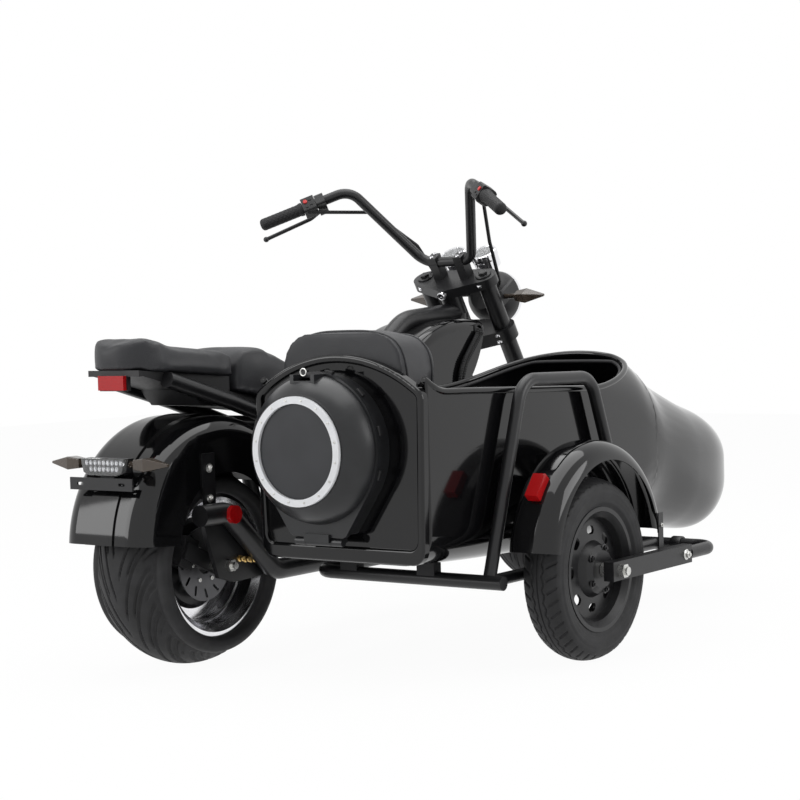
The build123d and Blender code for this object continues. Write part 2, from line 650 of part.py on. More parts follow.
# Luggage box on the rear panel: a cup with a flat foot, and a domed lid hinged at the foot
BOX_DEPTH = 43
BOX_WALL = 4
FLANGE = 5
FLANGE_T = 7
LID_GAP = 0.5
FOOT_HALF = 80
FOOT_CORNER = 14
box_back = PANEL_X - BOX_DEPTH
HINGE_PIN_R = 4
KNUCKLE_R = 9
HINGE_Z = BOX_FOOT_Z - FLANGE - KNUCKLE_R - 2


def box_outline(x, inset):
    """Round outline whose sides run on down to a flat foot, drawn in by the inset."""
    circles = [Pos(BOX_Y, BOX_Z) * Circle(BOX_R - inset)]
    for y in (FOOT_CORNER - FOOT_HALF, FOOT_HALF - FOOT_CORNER):
        circles.append(Pos(BOX_Y + y, BOX_FOOT_Z + FOOT_CORNER) * Circle(FOOT_CORNER - inset))
    edges = [edge for circle in circles for edge in circle.edges()]
    return Plane.YZ.offset(x) * make_hull(edges)


box_base = extrude(box_outline(PANEL_X, 0), -BOX_DEPTH)
box_base = box_base + extrude(box_outline(box_back, -FLANGE), FLANGE_T)
box_base = box_base - extrude(box_outline(PANEL_X - BOX_WALL, BOX_WALL), -BOX_DEPTH)
hinge_x = box_back - LID_GAP / 2
knuckle_from = 36


def on_hinge(y):
    """Point on the lid's hinge line."""
    return (hinge_x, BOX_Y + y, HINGE_Z)


for y in (-66, knuckle_from):
    box_base = box_base + rod(on_hinge(y), on_hinge(y + 30), KNUCKLE_R)
    web = block((hinge_x, hinge_x + 14), (BOX_Y + y, BOX_Y + y + 30), (HINGE_Z, BOX_FOOT_Z + 2))
    box_base = box_base + web
box_base = box_base + rod(on_hinge(-50), on_hinge(50), HINGE_PIN_R)
parts["box_base"] = box_base
RING_R = 121
RING_BAND = 16
RING_T = 8
LID_DEPTH = 70
lid_start = box_back - LID_GAP
lid_lines = [
    Line((0, 0), (BOX_R, 0)),
    ThreePointArc((BOX_R, 0), (BOX_R - 14, 0.62 * LID_DEPTH), (RING_R + 6, LID_DEPTH)),
    Line((RING_R + 6, LID_DEPTH), (0, LID_DEPTH)),
    Line((0, LID_DEPTH), (0, 0)),
]
dome = revolve(make_face(lid_lines), Axis.Y)
inner_scale = (BOX_R - BOX_WALL) / BOX_R
hollow = Pos(0, -BOX_WALL, 0) * scale(dome, by=(inner_scale, 1, inner_scale))
to_box = Pos(lid_start, BOX_Y, BOX_Z) * Rot(0, 0, 90)
lid = to_box * dome + extrude(box_outline(lid_start, -FLANGE), -FLANGE_T)
lid = lid - to_box * hollow
knuckle_half = knuckle_from - 1
lid = lid + rod(on_hinge(-knuckle_half), on_hinge(knuckle_half), KNUCKLE_R)
lid_web = (BOX_Y - knuckle_half, BOX_Y + knuckle_half)
lid = lid + block((hinge_x - 14, lid_start), lid_web, (HINGE_Z, BOX_FOOT_Z + 2))
HANDLE_HALF = 34
HANDLE_SIDE = 10
handle_wide = (BOX_Y - HANDLE_HALF, BOX_Y + HANDLE_HALF)
slot_wide = (BOX_Y - HANDLE_HALF + HANDLE_SIDE, BOX_Y + HANDLE_HALF - HANDLE_SIDE)
handle = block((lid_start - 46, lid_start - 4), handle_wide, (BOX_Z, BOX_Z + BOX_R))
handle_slot = block((lid_start - 60, lid_start - 16), slot_wide, (BOX_Z + BOX_R - 14, BOX_Z + 2 * BOX_R))
lid = lid + (handle - to_box * hollow) - handle_slot
lid_bore = rod(on_hinge(-90), on_hinge(90), HINGE_PIN_R + RUNNING_PLAY)
parts["box_lid"] = lid - lid_bore
ring_in = RING_R - RING_BAND
ring_face = LID_DEPTH + RING_T
ring_outline = [(ring_in, LID_DEPTH), (RING_R, LID_DEPTH), (RING_R, ring_face), (ring_in, ring_face)]
parts["lid_ring"] = to_box * turned(ring_outline)

# Fork legs, with the lugs that hold the front axle
leg = rod((0, -LEG_SPREAD, 300), (0, -LEG_SPREAD, FORK_TOP), OUTER_TUBE_R)
leg = leg + rod((0, -LEG_SPREAD, 0), (0, -LEG_SPREAD, 300), INNER_TUBE_R)
lug_in = LEG_SPREAD - INNER_TUBE_R - 1
lug_out = LEG_SPREAD + INNER_TUBE_R + 1
leg = leg + rod((0, -lug_in, 0), (0, -lug_out, 0), 27)
leg = leg - rod((0, 0, 0), (0, -200, 0), AXLE_R + SEAT_GAP)
parts["fork_legs"] = [FORK * piece for piece in both(leg)]
front_axle = rod((0, -lug_out - 20, 0), (0, lug_out + 20, 0), AXLE_R)
sleeve = rod((0, -lug_in, 0), (0, -FRONT_HUB_HALF - AXLE_PLAY, 0), SPACER_R)
left_sleeve = rod((0, lug_in, 0), (0, FRONT_HUB_HALF + DISC_T + AXLE_PLAY, 0), SPACER_R)
front_nut = extrude(Plane.XZ.offset(lug_out) * RegularPolygon(15, 6), 13)
parts["front_axle"] = FORK * (front_axle + sleeve + left_sleeve + both(front_nut))

# Clamps and steering stem
arms = make_hull(
    (Pos(0, LEG_SPREAD) * Circle(OUTER_TUBE_R + 11)).edges()
    + (Pos(0, -LEG_SPREAD) * Circle(OUTER_TUBE_R + 11)).edges()
    + (Pos(head_line, 0) * Circle(34)).edges()
)
leg_holes = [Pos(0, y) * Circle(OUTER_TUBE_R) for y in (-LEG_SPREAD, LEG_SPREAD)]
arms = arms - leg_holes
stem = rod((head_line, 0, LOWER_CLAMP_TOP - 10), (head_line, 0, FORK_TOP - 10), STEM_R)
upper_clamp = Pos(0, 0, FORK_TOP - CLAMP_DEPTH) * extrude(arms, CLAMP_DEPTH)
lower_clamp = Pos(0, 0, LOWER_CLAMP_TOP) * extrude(arms, -40)
parts["fork_clamps"] = FORK * (stem + upper_clamp + lower_clamp)

# Handlebar in the fork's own frame: up along the fork, then swept back to the grips
BAR_RISE = 272
bar_bend = Vector(-45, -204, BAR_HEIGHT + BAR_RISE)
bar_end = Vector(-220, -400, BAR_HEIGHT + BAR_RISE + 2)
bar_points = [(0, 0, BAR_HEIGHT), (0, -80, BAR_HEIGHT), tuple(bar_bend), tuple(bar_end)]
half_bar = tube(bar_points, 2 * BAR_R, 58)
bar = half_bar + other_side(half_bar)
parts["handlebar"] = FORK * bar
riser = block((-16, 16), (-58, -30), (FORK_TOP, BAR_HEIGHT + 20))
parts["bar_risers"] = [FORK * (piece - bar) for piece in both(riser)]

# Controls, set out along each grip from the bar's end inwards
grip_line = (bar_bend - bar_end).normalized()
GRIP_R = 17
GRIP_LENGTH = 122
CONTROL_DROOP = 55
grip_axis = Axis((0, 0, 0), tuple(grip_line))
ahead = grip_line.cross(Vector(0, 0, 1)).normalized().rotate(grip_axis, CONTROL_DROOP)
over = ahead.cross(grip_line).normalized()


def on_grip(inwards, forward=0, upward=0):
    """Point at distances along, ahead of and above the right-hand grip."""
    return bar_end + grip_line * inwards + ahead * forward + over * upward


def grip_box(inwards, length, forward, upward):
    """Block along the grip line between two values ahead of and above it."""
    wide = forward[1] - forward[0]
    tall = upward[1] - upward[0]
    middle = on_grip(inwards, sum(forward) / 2, sum(upward) / 2)
    face = Plane(origin=middle, x_dir=ahead, z_dir=grip_line) * RectangleRounded(wide, tall, 5)
    return extrude(face, length)


grip = rod(tuple(on_grip(-6)), tuple(on_grip(GRIP_LENGTH)), GRIP_R)
parts["grips"] = [FORK * (piece - bar) for piece in both(grip)]
SWITCH_AT = GRIP_LENGTH + 1
switch = grip_box(SWITCH_AT, 38, (-20, 22), (-24, 22))
PERCH_AT = SWITCH_AT + 39
MIRROR_HOLE_R = 4
perch = grip_box(PERCH_AT, 26, (-19, 44), (-17, 17))
mirror_at = on_grip(PERCH_AT + 13, 30)
mirror_hole = rod(tuple(mirror_at), tuple(mirror_at + over * 40), MIRROR_HOLE_R)
parts["switch_housings"] = [FORK * (piece - bar) for piece in both(switch)]
lever_root = on_grip(PERCH_AT + 12, 38)
lever_knee = on_grip(PERCH_AT - 30, 62)
lever_tip = on_grip(-8, 74)
lever = tube([tuple(p) for p in (lever_root, lever_knee, lever_tip)], 11, 30)
lever = lever + Pos(*lever_tip) * Sphere(8)
parts["lever_perches"] = [FORK * (piece - bar) for piece in both(perch + lever - mirror_hole)]

# Headlamp between the legs, front indicators and two round instruments
LAMP_AT = (128, 0, 648)
lamp_centre = (FORK * Pos(*LAMP_AT)).position
shell_lines = [
    Line((0, -62), (34, -58)),
    ThreePointArc((34, -58), (66, -24), (76, 34)),
    Line((76, 34), (76, 46)),
    Line((76, 46), (66, 46)),
    Line((66, 46), (66, 30)),
    Line((66, 30), (0, 30)),
    Line((0, 30), (0, -62)),
]
headlamp_place = Pos(*lamp_centre) * Rot(0, 0, -90)
shell = headlamp_place * revolve(make_face(shell_lines), Axis.Y)
lens_outline = [(0, 30), (66, 30), (66, 44), (48, 51), (0, 54)]
parts["headlamp_lens"] = headlamp_place * turned(lens_outline)
ear = block((0, LAMP_AT[0]), (-LEG_SPREAD, -LEG_SPREAD + 12), (LAMP_AT[2] + 24, LAMP_AT[2] + 60))
ear = ear + block((LAMP_AT[0] - 30, LAMP_AT[0]), (-LEG_SPREAD + 12, -50), (LAMP_AT[2] + 24, LAMP_AT[2] + 36))
ears = [FORK * (piece - leg - other_side(leg)) for piece in both(ear)]
parts["headlamp_shell"] = shell + ears
front_blinker = indicator(92, Pos(60, -LEG_SPREAD - 38, LAMP_AT[2] + 44))
front_stalk = rod((60, -LEG_SPREAD, LAMP_AT[2] + 44), (60, -LEG_SPREAD - 38, LAMP_AT[2] + 44), 7)
parts["front_indicators"] = [FORK * piece for piece in both(front_blinker + front_stalk)]
GAUGE_X = 98
GAUGE_Y = 52
GAUGE_Z = FORK_TOP - CLAMP_DEPTH
GAUGE_TALL = 46
gauge = rod((GAUGE_X, -GAUGE_Y, GAUGE_Z), (GAUGE_X, -GAUGE_Y, GAUGE_Z + GAUGE_TALL), 38)
gauge = gauge + block((10, GAUGE_X), (-GAUGE_Y - 12, -GAUGE_Y + 12), (GAUGE_Z + 2, GAUGE_Z + 10))
gauge = gauge - leg - upper_clamp
parts["gauges"] = [FORK * piece for piece in both(gauge)]

# Wiring looms from the switches along the handlebar to the headlamp
LOOM_D = 10
loom_points = [
    tuple(on_grip(SWITCH_AT + 10, -8, -22)),
    (-5, -191, BAR_HEIGHT + 176),
    (48, -125, BAR_HEIGHT + 30),
    (60, -100, FORK_TOP - 60),
    (LAMP_AT[0] - 28, -30, LAMP_AT[2] + 24),
]
loom = tube(loom_points, LOOM_D, 30)
looms = [FORK * piece - shell for piece in both(loom - switch - perch - bar)]
parts["control_looms"] = [piece.solids().sort_by(SortBy.VOLUME)[-1] for piece in looms]

# Front mudguard on the fork legs
front_section = channel(FRONT_TYRE_R + 16, FRONT_TYRE_R - 14, 70, 34, GUARD_WALL)
front_guard = arch(front_section, 12, 168)
guard_lug = block((-14, 14), (-LEG_SPREAD, -68), (FRONT_TYRE_R - 10, FRONT_TYRE_R + 14))
front_guard = front_guard + both(guard_lug - leg)
parts["front_mudguard"] = FORK * front_guard

# Front brake caliper on the left leg
FRONT_PAD = FRONT_HUB_HALF + DISC_T / 2
front_caliper = block((-128, -64), (FRONT_PAD - 20, FRONT_PAD + 22), (-34, 34))
pad_slot = block((-FRONT_DISC_R - PAD_GAP, 0), (FRONT_PAD - pad_half, FRONT_PAD + pad_half), (-60, 60))
caliper_arm = block((-110, 0), (FRONT_PAD + 14, LEG_SPREAD), (20, 34))
front_caliper = Rot(0, 20, 0) * (front_caliper - pad_slot)
parts["front_caliper"] = FORK * (front_caliper + caliper_arm - other_side(leg))

# Red reflectors: below the pillion seat, on both arms and on the sidecar mudguard
reflectors = [block((TRAY_END - 10, TRAY_END), (-REFLECTOR_HALF, REFLECTOR_HALF), (657, 690))]
reflectors += both(rod((-30, -ARM_Y - ARM_D / 2 + 2, 362), (-30, -ARM_Y - ARM_D / 2 - 10, 362), 21) - arm)
side_lamp = Rot(0, -140, 0) * block((SIDE_GUARD_R - 8, SIDE_GUARD_R + 20), (-16, 16), (-30, 30))
side_lamp = side_lamp - rod((0, -100, 0), (0, 100, 0), SIDE_GUARD_R)
reflectors += [Pos(SIDE_GUARD_X, SIDE_WHEEL_Y, SIDE_GUARD_Z) * side_lamp]
parts["red_reflectors"] = reflectors

# Export each node, moved so that the origin is under the middle of the whole
whole = {}
for name, shape in parts.items():
    solids = shape if isinstance(shape, list) else [shape]
    whole[name] = Compound([s for piece in solids for s in piece.solids()])
bounds = Compound(list(whole.values())).bounding_box()
shift = Pos(-bounds.center().X, -bounds.center().Y, -bounds.min.Z)
os.makedirs("parts", exist_ok=True)
for name, shape in whole.items():
    export_step(shape.moved(shift), f"parts/{name}.step")
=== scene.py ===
import json
import math

import bmesh
import bpy
from mathutils import Matrix, Vector
from mathutils.bvhtree import BVHTree


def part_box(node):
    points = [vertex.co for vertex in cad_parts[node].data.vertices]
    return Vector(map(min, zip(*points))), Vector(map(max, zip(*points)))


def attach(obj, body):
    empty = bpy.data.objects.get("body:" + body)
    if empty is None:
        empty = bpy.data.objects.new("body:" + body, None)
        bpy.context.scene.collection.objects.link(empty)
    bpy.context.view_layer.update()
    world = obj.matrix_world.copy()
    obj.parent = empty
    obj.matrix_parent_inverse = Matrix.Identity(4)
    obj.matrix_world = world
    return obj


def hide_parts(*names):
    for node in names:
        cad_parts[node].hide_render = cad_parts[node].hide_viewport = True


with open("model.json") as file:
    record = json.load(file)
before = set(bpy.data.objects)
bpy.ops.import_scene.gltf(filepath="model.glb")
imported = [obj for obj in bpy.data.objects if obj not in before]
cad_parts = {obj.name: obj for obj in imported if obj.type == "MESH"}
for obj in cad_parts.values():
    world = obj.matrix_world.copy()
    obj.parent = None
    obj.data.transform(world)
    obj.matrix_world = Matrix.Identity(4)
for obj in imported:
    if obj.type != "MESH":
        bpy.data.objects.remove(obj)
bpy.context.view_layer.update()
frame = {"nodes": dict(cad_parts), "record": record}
nodes = frame["nodes"]

# Positions are written in millimetres in the motorcycle's own frame, as in the part's source:
# the rear axle above x = 0, the centre plane at y = 0 and the ground at z = 0.


def middle(node):
    """Middle of a CAD node's box."""
    low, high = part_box(node)
    return (Vector(low) + Vector(high)) / 2


rear_axle = middle("rear_axle")
BASE = Vector((rear_axle.x, rear_axle.y, 0))
FRONT_AXLE = middle("front_axle")
RAKE = math.radians(32)
ACROSS_FORK = Vector((math.cos(RAKE), 0, math.sin(RAKE)))
UP_FORK = Vector((-math.sin(RAKE), 0, math.cos(RAKE)))
LEFT = Vector((0, 1, 0))
BACK = Vector((-1, 0, 0))
X_AXIS = Vector((1, 0, 0))
Z_AXIS = Vector((0, 0, 1))


def at(x, y, z):
    """A point of the motorcycle's frame, in metres of the row frame."""
    return BASE + Vector((x, y, z)) / 1000


def on_fork(t, y, s):
    """A point t ahead of the fork's line, y to the left and s up along it from the front axle."""
    return FRONT_AXLE + (ACROSS_FORK * t + LEFT * y + UP_FORK * s) / 1000


def spoke(first, second, share):
    """Direction at a share of a full turn in the plane of two axes."""
    turn = 2 * math.pi * share
    return first * math.cos(turn) + second * math.sin(turn)


# Materials


def noise_node(tree, scale, detail=3.0, rough=0.5):
    """Noise over the object's own coordinates."""
    coords = tree.nodes.new("ShaderNodeTexCoord")
    noise = tree.nodes.new("ShaderNodeTexNoise")
    noise.inputs["Scale"].default_value = scale
    noise.inputs["Detail"].default_value = detail
    noise.inputs["Roughness"].default_value = rough
    tree.links.new(coords.outputs["Object"], noise.inputs["Vector"])
    return noise


def ramp_node(tree, source, low, high, start=0.35, end=0.65):
    """Ramp from a low to a high colour over part of a source's range."""
    ramp = tree.nodes.new("ShaderNodeValToRGB")
    ramp.color_ramp.elements[0].position = start
    ramp.color_ramp.elements[1].position = end
    ramp.color_ramp.elements[0].color = (*low, 1)
    ramp.color_ramp.elements[1].color = (*high, 1)
    tree.links.new(source, ramp.inputs["Fac"])
    return ramp


def add_bump(tree, height, strength, distance):
    """Bump ahead of the shader's normal, on top of any that is there."""
    shader = tree.nodes["Principled BSDF"]
    relief = tree.nodes.new("ShaderNodeBump")
    relief.inputs["Strength"].default_value = strength
    relief.inputs["Distance"].default_value = distance
    tree.links.new(height, relief.inputs["Height"])
    if shader.inputs["Normal"].links:
        tree.links.new(shader.inputs["Normal"].links[0].from_socket, relief.inputs["Normal"])
    tree.links.new(relief.outputs["Normal"], shader.inputs["Normal"])


def material(name, color, rough, metal=0.0, vary=0.15, mottle=18.0, rough_span=0.05, bump=None,
             **sockets):
    """Principled material: mottled colour, uneven gloss, fine bump (scale, strength, distance)."""
    mat = bpy.data.materials.new(name)
    mat.use_nodes = True
    tree = mat.node_tree
    shader = tree.nodes["Principled BSDF"]
    shader.inputs["Metallic"].default_value = metal
    for key, value in sockets.items():
        shader.inputs[key.replace("_", " ")].default_value = value
    low = tuple(c * (1 - vary) for c in color)
    high = tuple(min(1.0, c * (1 + vary)) for c in color)
    ramp = ramp_node(tree, noise_node(tree, mottle, 4.0).outputs["Fac"], low, high)
    tree.links.new(ramp.outputs["Color"], shader.inputs["Base Color"])
    span = tree.nodes.new("ShaderNodeMapRange")
    span.inputs["To Min"].default_value = max(0.02, rough - rough_span)
    span.inputs["To Max"].default_value = rough + rough_span
    tree.links.new(noise_node(tree, mottle * 4, 5.0).outputs["Fac"], span.inputs["Value"])
    tree.links.new(span.outputs["Result"], shader.inputs["Roughness"])
    if bump:
        scale, strength, distance = bump
        add_bump(tree, noise_node(tree, scale, 6.0, 0.6).outputs["Fac"], strength, distance)
    return mat


def brushed(name, color, rough, stretch):
    """Metal with fine lines: noise stretched along one axis."""
    mat = material(name, color, rough, 1.0, vary=0.08, rough_span=0.06)
    tree = mat.node_tree
    noise = noise_node(tree, 60, 2.0)
    mapping = tree.nodes.new("ShaderNodeMapping")
    mapping.inputs["Scale"].default_value = stretch
    tree.links.new(noise.inputs["Vector"].links[0].from_socket, mapping.inputs["Vector"])
    tree.links.new(mapping.outputs["Vector"], noise.inputs["Vector"])
    add_bump(tree, noise.outputs["Fac"], 0.12, 0.0004)
    return mat


def leather(name, color):
    """Vinyl with a pebbled grain over soft creases."""
    mat = material(name, color, 0.5, vary=0.18, mottle=9.0, rough_span=0.08, Specular_IOR_Level=0.4)
    tree = mat.node_tree
    coords = tree.nodes.new("ShaderNodeTexCoord")
    cells = tree.nodes.new("ShaderNodeTexVoronoi")
    cells.inputs["Scale"].default_value = 420
    tree.links.new(coords.outputs["Object"], cells.inputs["Vector"])
    add_bump(tree, cells.outputs["Distance"], 0.35, 0.0006)
    add_bump(tree, noise_node(tree, 28, 3.0).outputs["Fac"], 0.12, 0.003)
    return mat


def lens(name, color, rough=0.05, transmission=0.9):
    """Clear or tinted plastic that lets light through."""
    mat = material(name, color, rough, vary=0.04, rough_span=0.02, IOR=1.49)
    mat.node_tree.nodes["Principled BSDF"].inputs["Transmission Weight"].default_value = transmission
    return mat


GLOSS = material("gloss_black_paint", (0.0035, 0.0035, 0.004), 0.07, vary=0.1, rough_span=0.02,
                 bump=(90, 0.015, 0.0005), Specular_IOR_Level=0.42)
SATIN = material("satin_black_paint", (0.009, 0.009, 0.01), 0.34, rough_span=0.07, bump=(900, 0.12, 0.0003),
                 Specular_IOR_Level=0.4)
PLASTIC = material("black_plastic", (0.012, 0.012, 0.013), 0.45, rough_span=0.08, bump=(1400, 0.25, 0.0003),
                   Specular_IOR_Level=0.35)
CHARCOAL = material("charcoal_plastic", (0.014, 0.0145, 0.016), 0.33, rough_span=0.05,
                    bump=(1100, 0.1, 0.0003), Specular_IOR_Level=0.4)
LINING = material("tub_lining", (0.006, 0.006, 0.007), 0.7, rough_span=0.1, bump=(600, 0.5, 0.001),
                  Specular_IOR_Level=0.2)
ALLOY = brushed("polished_alloy", (0.8, 0.8, 0.82), 0.16, (1, 40, 1))
STEEL = brushed("brushed_steel", (0.42, 0.42, 0.43), 0.32, (40, 1, 40))
DISC_STEEL = brushed("disc_steel", (0.13, 0.13, 0.135), 0.38, (40, 1, 40))
ZINC = material("zinc_plate", (0.62, 0.62, 0.6), 0.28, 1.0, vary=0.12, mottle=60)
CHROME = material("chrome", (0.85, 0.85, 0.87), 0.08, 1.0, vary=0.03)
BRASS = material("brass", (0.72, 0.5, 0.2), 0.3, 1.0, vary=0.12, mottle=60)
TYRE = material("tyre_rubber", (0.013, 0.013, 0.014), 0.62, vary=0.3, mottle=30, rough_span=0.1,
                bump=(500, 0.3, 0.0005), Specular_IOR_Level=0.35)
RUBBER = material("rubber", (0.01, 0.01, 0.011), 0.6, rough_span=0.1, bump=(800, 0.3, 0.0004),
                  Specular_IOR_Level=0.35)
VINYL = leather("seat_vinyl", (0.016, 0.0165, 0.019))
CLEAR = lens("clear_lens", (0.95, 0.96, 0.97))
SMOKE = lens("smoke_lens", (0.09, 0.07, 0.055), transmission=0.35)
RED = lens("red_lens", (0.5, 0.006, 0.008), 0.12, 0.25)
RED_PLASTIC = material("red_button", (0.5, 0.012, 0.012), 0.35, bump=(900, 0.1, 0.0002))
SILVER = material("silver_trim", (0.72, 0.73, 0.75), 0.34, vary=0.04, bump=(700, 0.1, 0.0002))
DISC_GREY = material("lid_disc", (0.022, 0.023, 0.026), 0.5, vary=0.1, bump=(900, 0.2, 0.0003),
                     Specular_IOR_Level=0.35)
DIAL = material("dial_face", (0.02, 0.022, 0.026), 0.3, vary=0.1)
BATTERY = material("battery_paint", (0.014, 0.014, 0.016), 0.4, rough_span=0.06, bump=(600, 0.25, 0.0004))
SLOT_MATERIAL = {
    "gloss_black": GLOSS, "satin_black": SATIN, "black_plastic": PLASTIC, "charcoal_plastic": CHARCOAL,
    "polished_alloy": ALLOY, "steel": STEEL, "tyre": TYRE, "rubber": RUBBER, "leather": VINYL,
    "clear_lens": CLEAR, "smoke_lens": SMOKE, "red_lens": RED, "silver_trim": SILVER, "chrome": CHROME,
    "battery": BATTERY,
}
for sub in frame["record"]["subparts"]:
    node = nodes[sub["node"]]
    node.data.materials.clear()
    node.data.materials.append(SLOT_MATERIAL[sub["material_slot"]])
for name in ("rear_axle", "sidecar_axle", "front_axle"):
    nodes[name].data.materials[0] = ZINC
for name in ("rear_brake_disc", "front_brake_disc"):
    nodes[name].data.materials[0] = DISC_STEEL

# Ways to make pieces


def placed(name, data, body, mats):
    """Links a mesh or curve as a piece that rides on a body."""
    for mat in mats:
        data.materials.append(mat)
    obj = bpy.data.objects.new(name, data)
    bpy.context.collection.objects.link(obj)
    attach(obj, body)
    return obj


def piece(name, shapes, body, slot, *mats, sharp=35):
    """Joins (vertices, faces) shapes into one smooth-shaded mesh piece, creased above an angle."""
    verts, faces = [], []
    for more_verts, more_faces in shapes:
        start = len(verts)
        verts += [tuple(v) for v in more_verts]
        faces += [[start + k for k in face] for face in more_faces]
    mesh = bpy.data.meshes.new(name)
    mesh.from_pydata(verts, [], faces)
    work = bmesh.new()
    work.from_mesh(mesh)
    bmesh.ops.remove_doubles(work, verts=work.verts, dist=1e-6)
    bmesh.ops.recalc_face_normals(work, faces=work.faces)
    work.to_mesh(mesh)
    work.free()
    mesh.shade_smooth()
    mesh.set_sharp_from_angle(angle=math.radians(sharp))
    return placed(name, mesh, body, mats)


def turned(profile, centre, axis, sides=32):
    """Shape turned about an axis from (radius, height) points in millimetres."""
    axis = Vector(axis).normalized()
    side = axis.orthogonal().normalized()
    up = axis.cross(side)
    verts, faces, rings = [], [], []
    for radius, height in profile:
        count = sides if radius else 1
        rings.append((len(verts), count))
        for k in range(count):
            out = spoke(side, up, k / sides)
            verts.append(centre + (axis * height + out * radius) / 1000)
    for (first, n), (second, m) in zip(rings, rings[1:]):
        for k in range(sides):
            j = k + 1
            corners = [first + k % n, first + j % n, second + j % m, second + k % m]
            faces.append(list(dict.fromkeys(corners)))
    return verts, faces


def hex_bolt(centre, axis, size):
    """Washer, chamfered hexagon head and bolt end, size being half the head's width across corners."""
    forms = [
        # sides, (radius, height) in half widths
        (24, [(0, 0), (1.45, 0), (1.45, 0.2), (1.3, 0.3), (0, 0.3)]),
        (6, [(0, 0.3), (1, 0.3), (1, 0.95), (0.82, 1.1), (0, 1.1)]),
        (16, [(0.5, 1.1), (0.5, 1.4), (0.42, 1.5), (0, 1.5)]),
    ]
    shapes = []
    for sides, form in forms:
        shapes.append(turned([(r * size, h * size) for r, h in form], centre, axis, sides))
    return shapes


def socket_screw(centre, axis, size):
    """Round-headed screw with a round socket, size being the head's radius."""
    head = [(size, 0), (size, 0.55 * size), (0.86 * size, 0.72 * size), (0.5 * size, 0.72 * size)]
    hole = [(0.5 * size, 0.72 * size), (0.5 * size, 0.2 * size), (0, 0.2 * size)]
    return [turned(head, centre, axis, 20), turned(hole, centre, axis, 20)]


def strand(name, points, radius, body, mat, closed=False):
    """Round piece on a smooth spline drawn along the points given, its radius in millimetres."""
    curve = bpy.data.curves.new(name, "CURVE")
    curve.dimensions = "3D"
    curve.bevel_depth = radius / 1000
    curve.bevel_resolution = 3
    curve.use_fill_caps = True
    spline = curve.splines.new("NURBS")
    spline.points.add(len(points) - 1)
    for knot, point in zip(spline.points, points):
        knot.co = (*point, 1)
    spline.use_cyclic_u = closed
    spline.order_u = 3
    spline.use_endpoint_u = not closed
    spline.resolution_u = 6
    return placed(name, curve, body, [mat])


def soft_box(centre, axes, half, edge):
    """Box with chamfered edges about a centre, its half sizes in millimetres along three axes."""
    rings = []
    for depth, inset in ((-1, 1), (-1 + edge / half[2], 0), (1 - edge / half[2], 0), (1, 1)):
        a, b = half[0] - inset * edge, half[1] - inset * edge
        outline = [(a, b - edge), (a - edge, b), (edge - a, b), (-a, b - edge),
                   (-a, edge - b), (edge - a, -b), (a - edge, -b), (a, edge - b)]
        level = centre + axes[2] * depth * half[2] / 1000
        rings.append([level + (axes[0] * p + axes[1] * q) / 1000 for p, q in outline])
    verts = [v for ring in rings for v in ring]
    faces = [list(range(8)), list(range(24, 32))]
    for k in range(3):
        for i in range(8):
            j = (i + 1) % 8
            faces.append([8 * k + i, 8 * k + j, 8 * k + 8 + j, 8 * k + 8 + i])
    return verts, faces


def arc_points(start, via, end, count):
    """Points on the circle through three 2-D points, the last one left out."""
    (ax, ay), (bx, by), (cx, cy) = start, via, end
    d = 2 * (ax * (by - cy) + bx * (cy - ay) + cx * (ay - by))
    sa, sb, sc = ax**2 + ay**2, bx**2 + by**2, cx**2 + cy**2
    ux = (sa * (by - cy) + sb * (cy - ay) + sc * (ay - by)) / d
    uy = (sa * (cx - bx) + sb * (ax - cx) + sc * (bx - ax)) / d
    radius = math.hypot(ax - ux, ay - uy)
    first = math.atan2(ay - uy, ax - ux)
    turn_via = (math.atan2(by - uy, bx - ux) - first) % (2 * math.pi)
    turn = (math.atan2(cy - uy, cx - ux) - first) % (2 * math.pi)
    if turn_via > turn:
        turn -= 2 * math.pi
    angles = [first + turn * k / count for k in range(count)]
    return [(ux + radius * math.cos(a), uy + radius * math.sin(a)) for a in angles]


# Sidecar tub: one smooth skin through the part's own sections, lined inside, with a rolled rim
TUB_Y = -472
TUB_WALL = 6
tub_sections = [
    # x, half width, bottom, top, corner radius
    (10, 232, 262, 722, 70),
    (300, 237, 246, 724, 90),
    (600, 239, 238, 726, 105),
    (900, 234, 234, 718, 150),
    (1020, 230, 231, 698, 190),
    (1130, 220, 226, 644, 196),
    (1320, 200, 204, 566, 150),
    (1480, 172, 186, 522, 124),
    (1600, 130, 216, 486, 106),
    (1655, 84, 276, 456, 76),
    (1676, 46, 326, 424, 42),
]
rim_line = [
    # x, height: the curled rear end, the level flank and the rise to the front of the opening
    (10, 672), (45, 650), (110, 641), (720, 619), (950, 664), (1090, 724),
]
ROWS_PER_SECTION = 22
TUB_HALF_RING = 64
NOSE_CAP = 10
NOSE_RINGS = 7
BEAD_R = 8
TRIM_R = 5
TOUCH = 0.01


def smooth_rows(table, steps):
    """Rows of a table with further rows between them, each column on a smooth curve."""
    rows = []
    for k in range(len(table) - 1):
        columns = list(zip(table[max(k - 1, 0)], *table[k:k + 2], table[min(k + 2, len(table) - 1)]))
        for step in range(steps):
            u = step / steps
            row = []
            for a, b, c, d in columns:
                bend = (2 * a - 5 * b + 4 * c - d) * u**2 + (3 * b - a - 3 * c + d) * u**3
                row.append(b + ((c - a) * u + bend) / 2)
            rows.append(row)
    return rows + [list(table[-1])]


def through(x, a, b, c):
    """Height at x of the parabola through three points."""
    total = 0
    for (px, pz), (qx, _), (rx, _) in ((a, b, c), (b, c, a), (c, a, b)):
        total += pz * (x - qx) * (x - rx) / ((px - qx) * (px - rx))
    return total


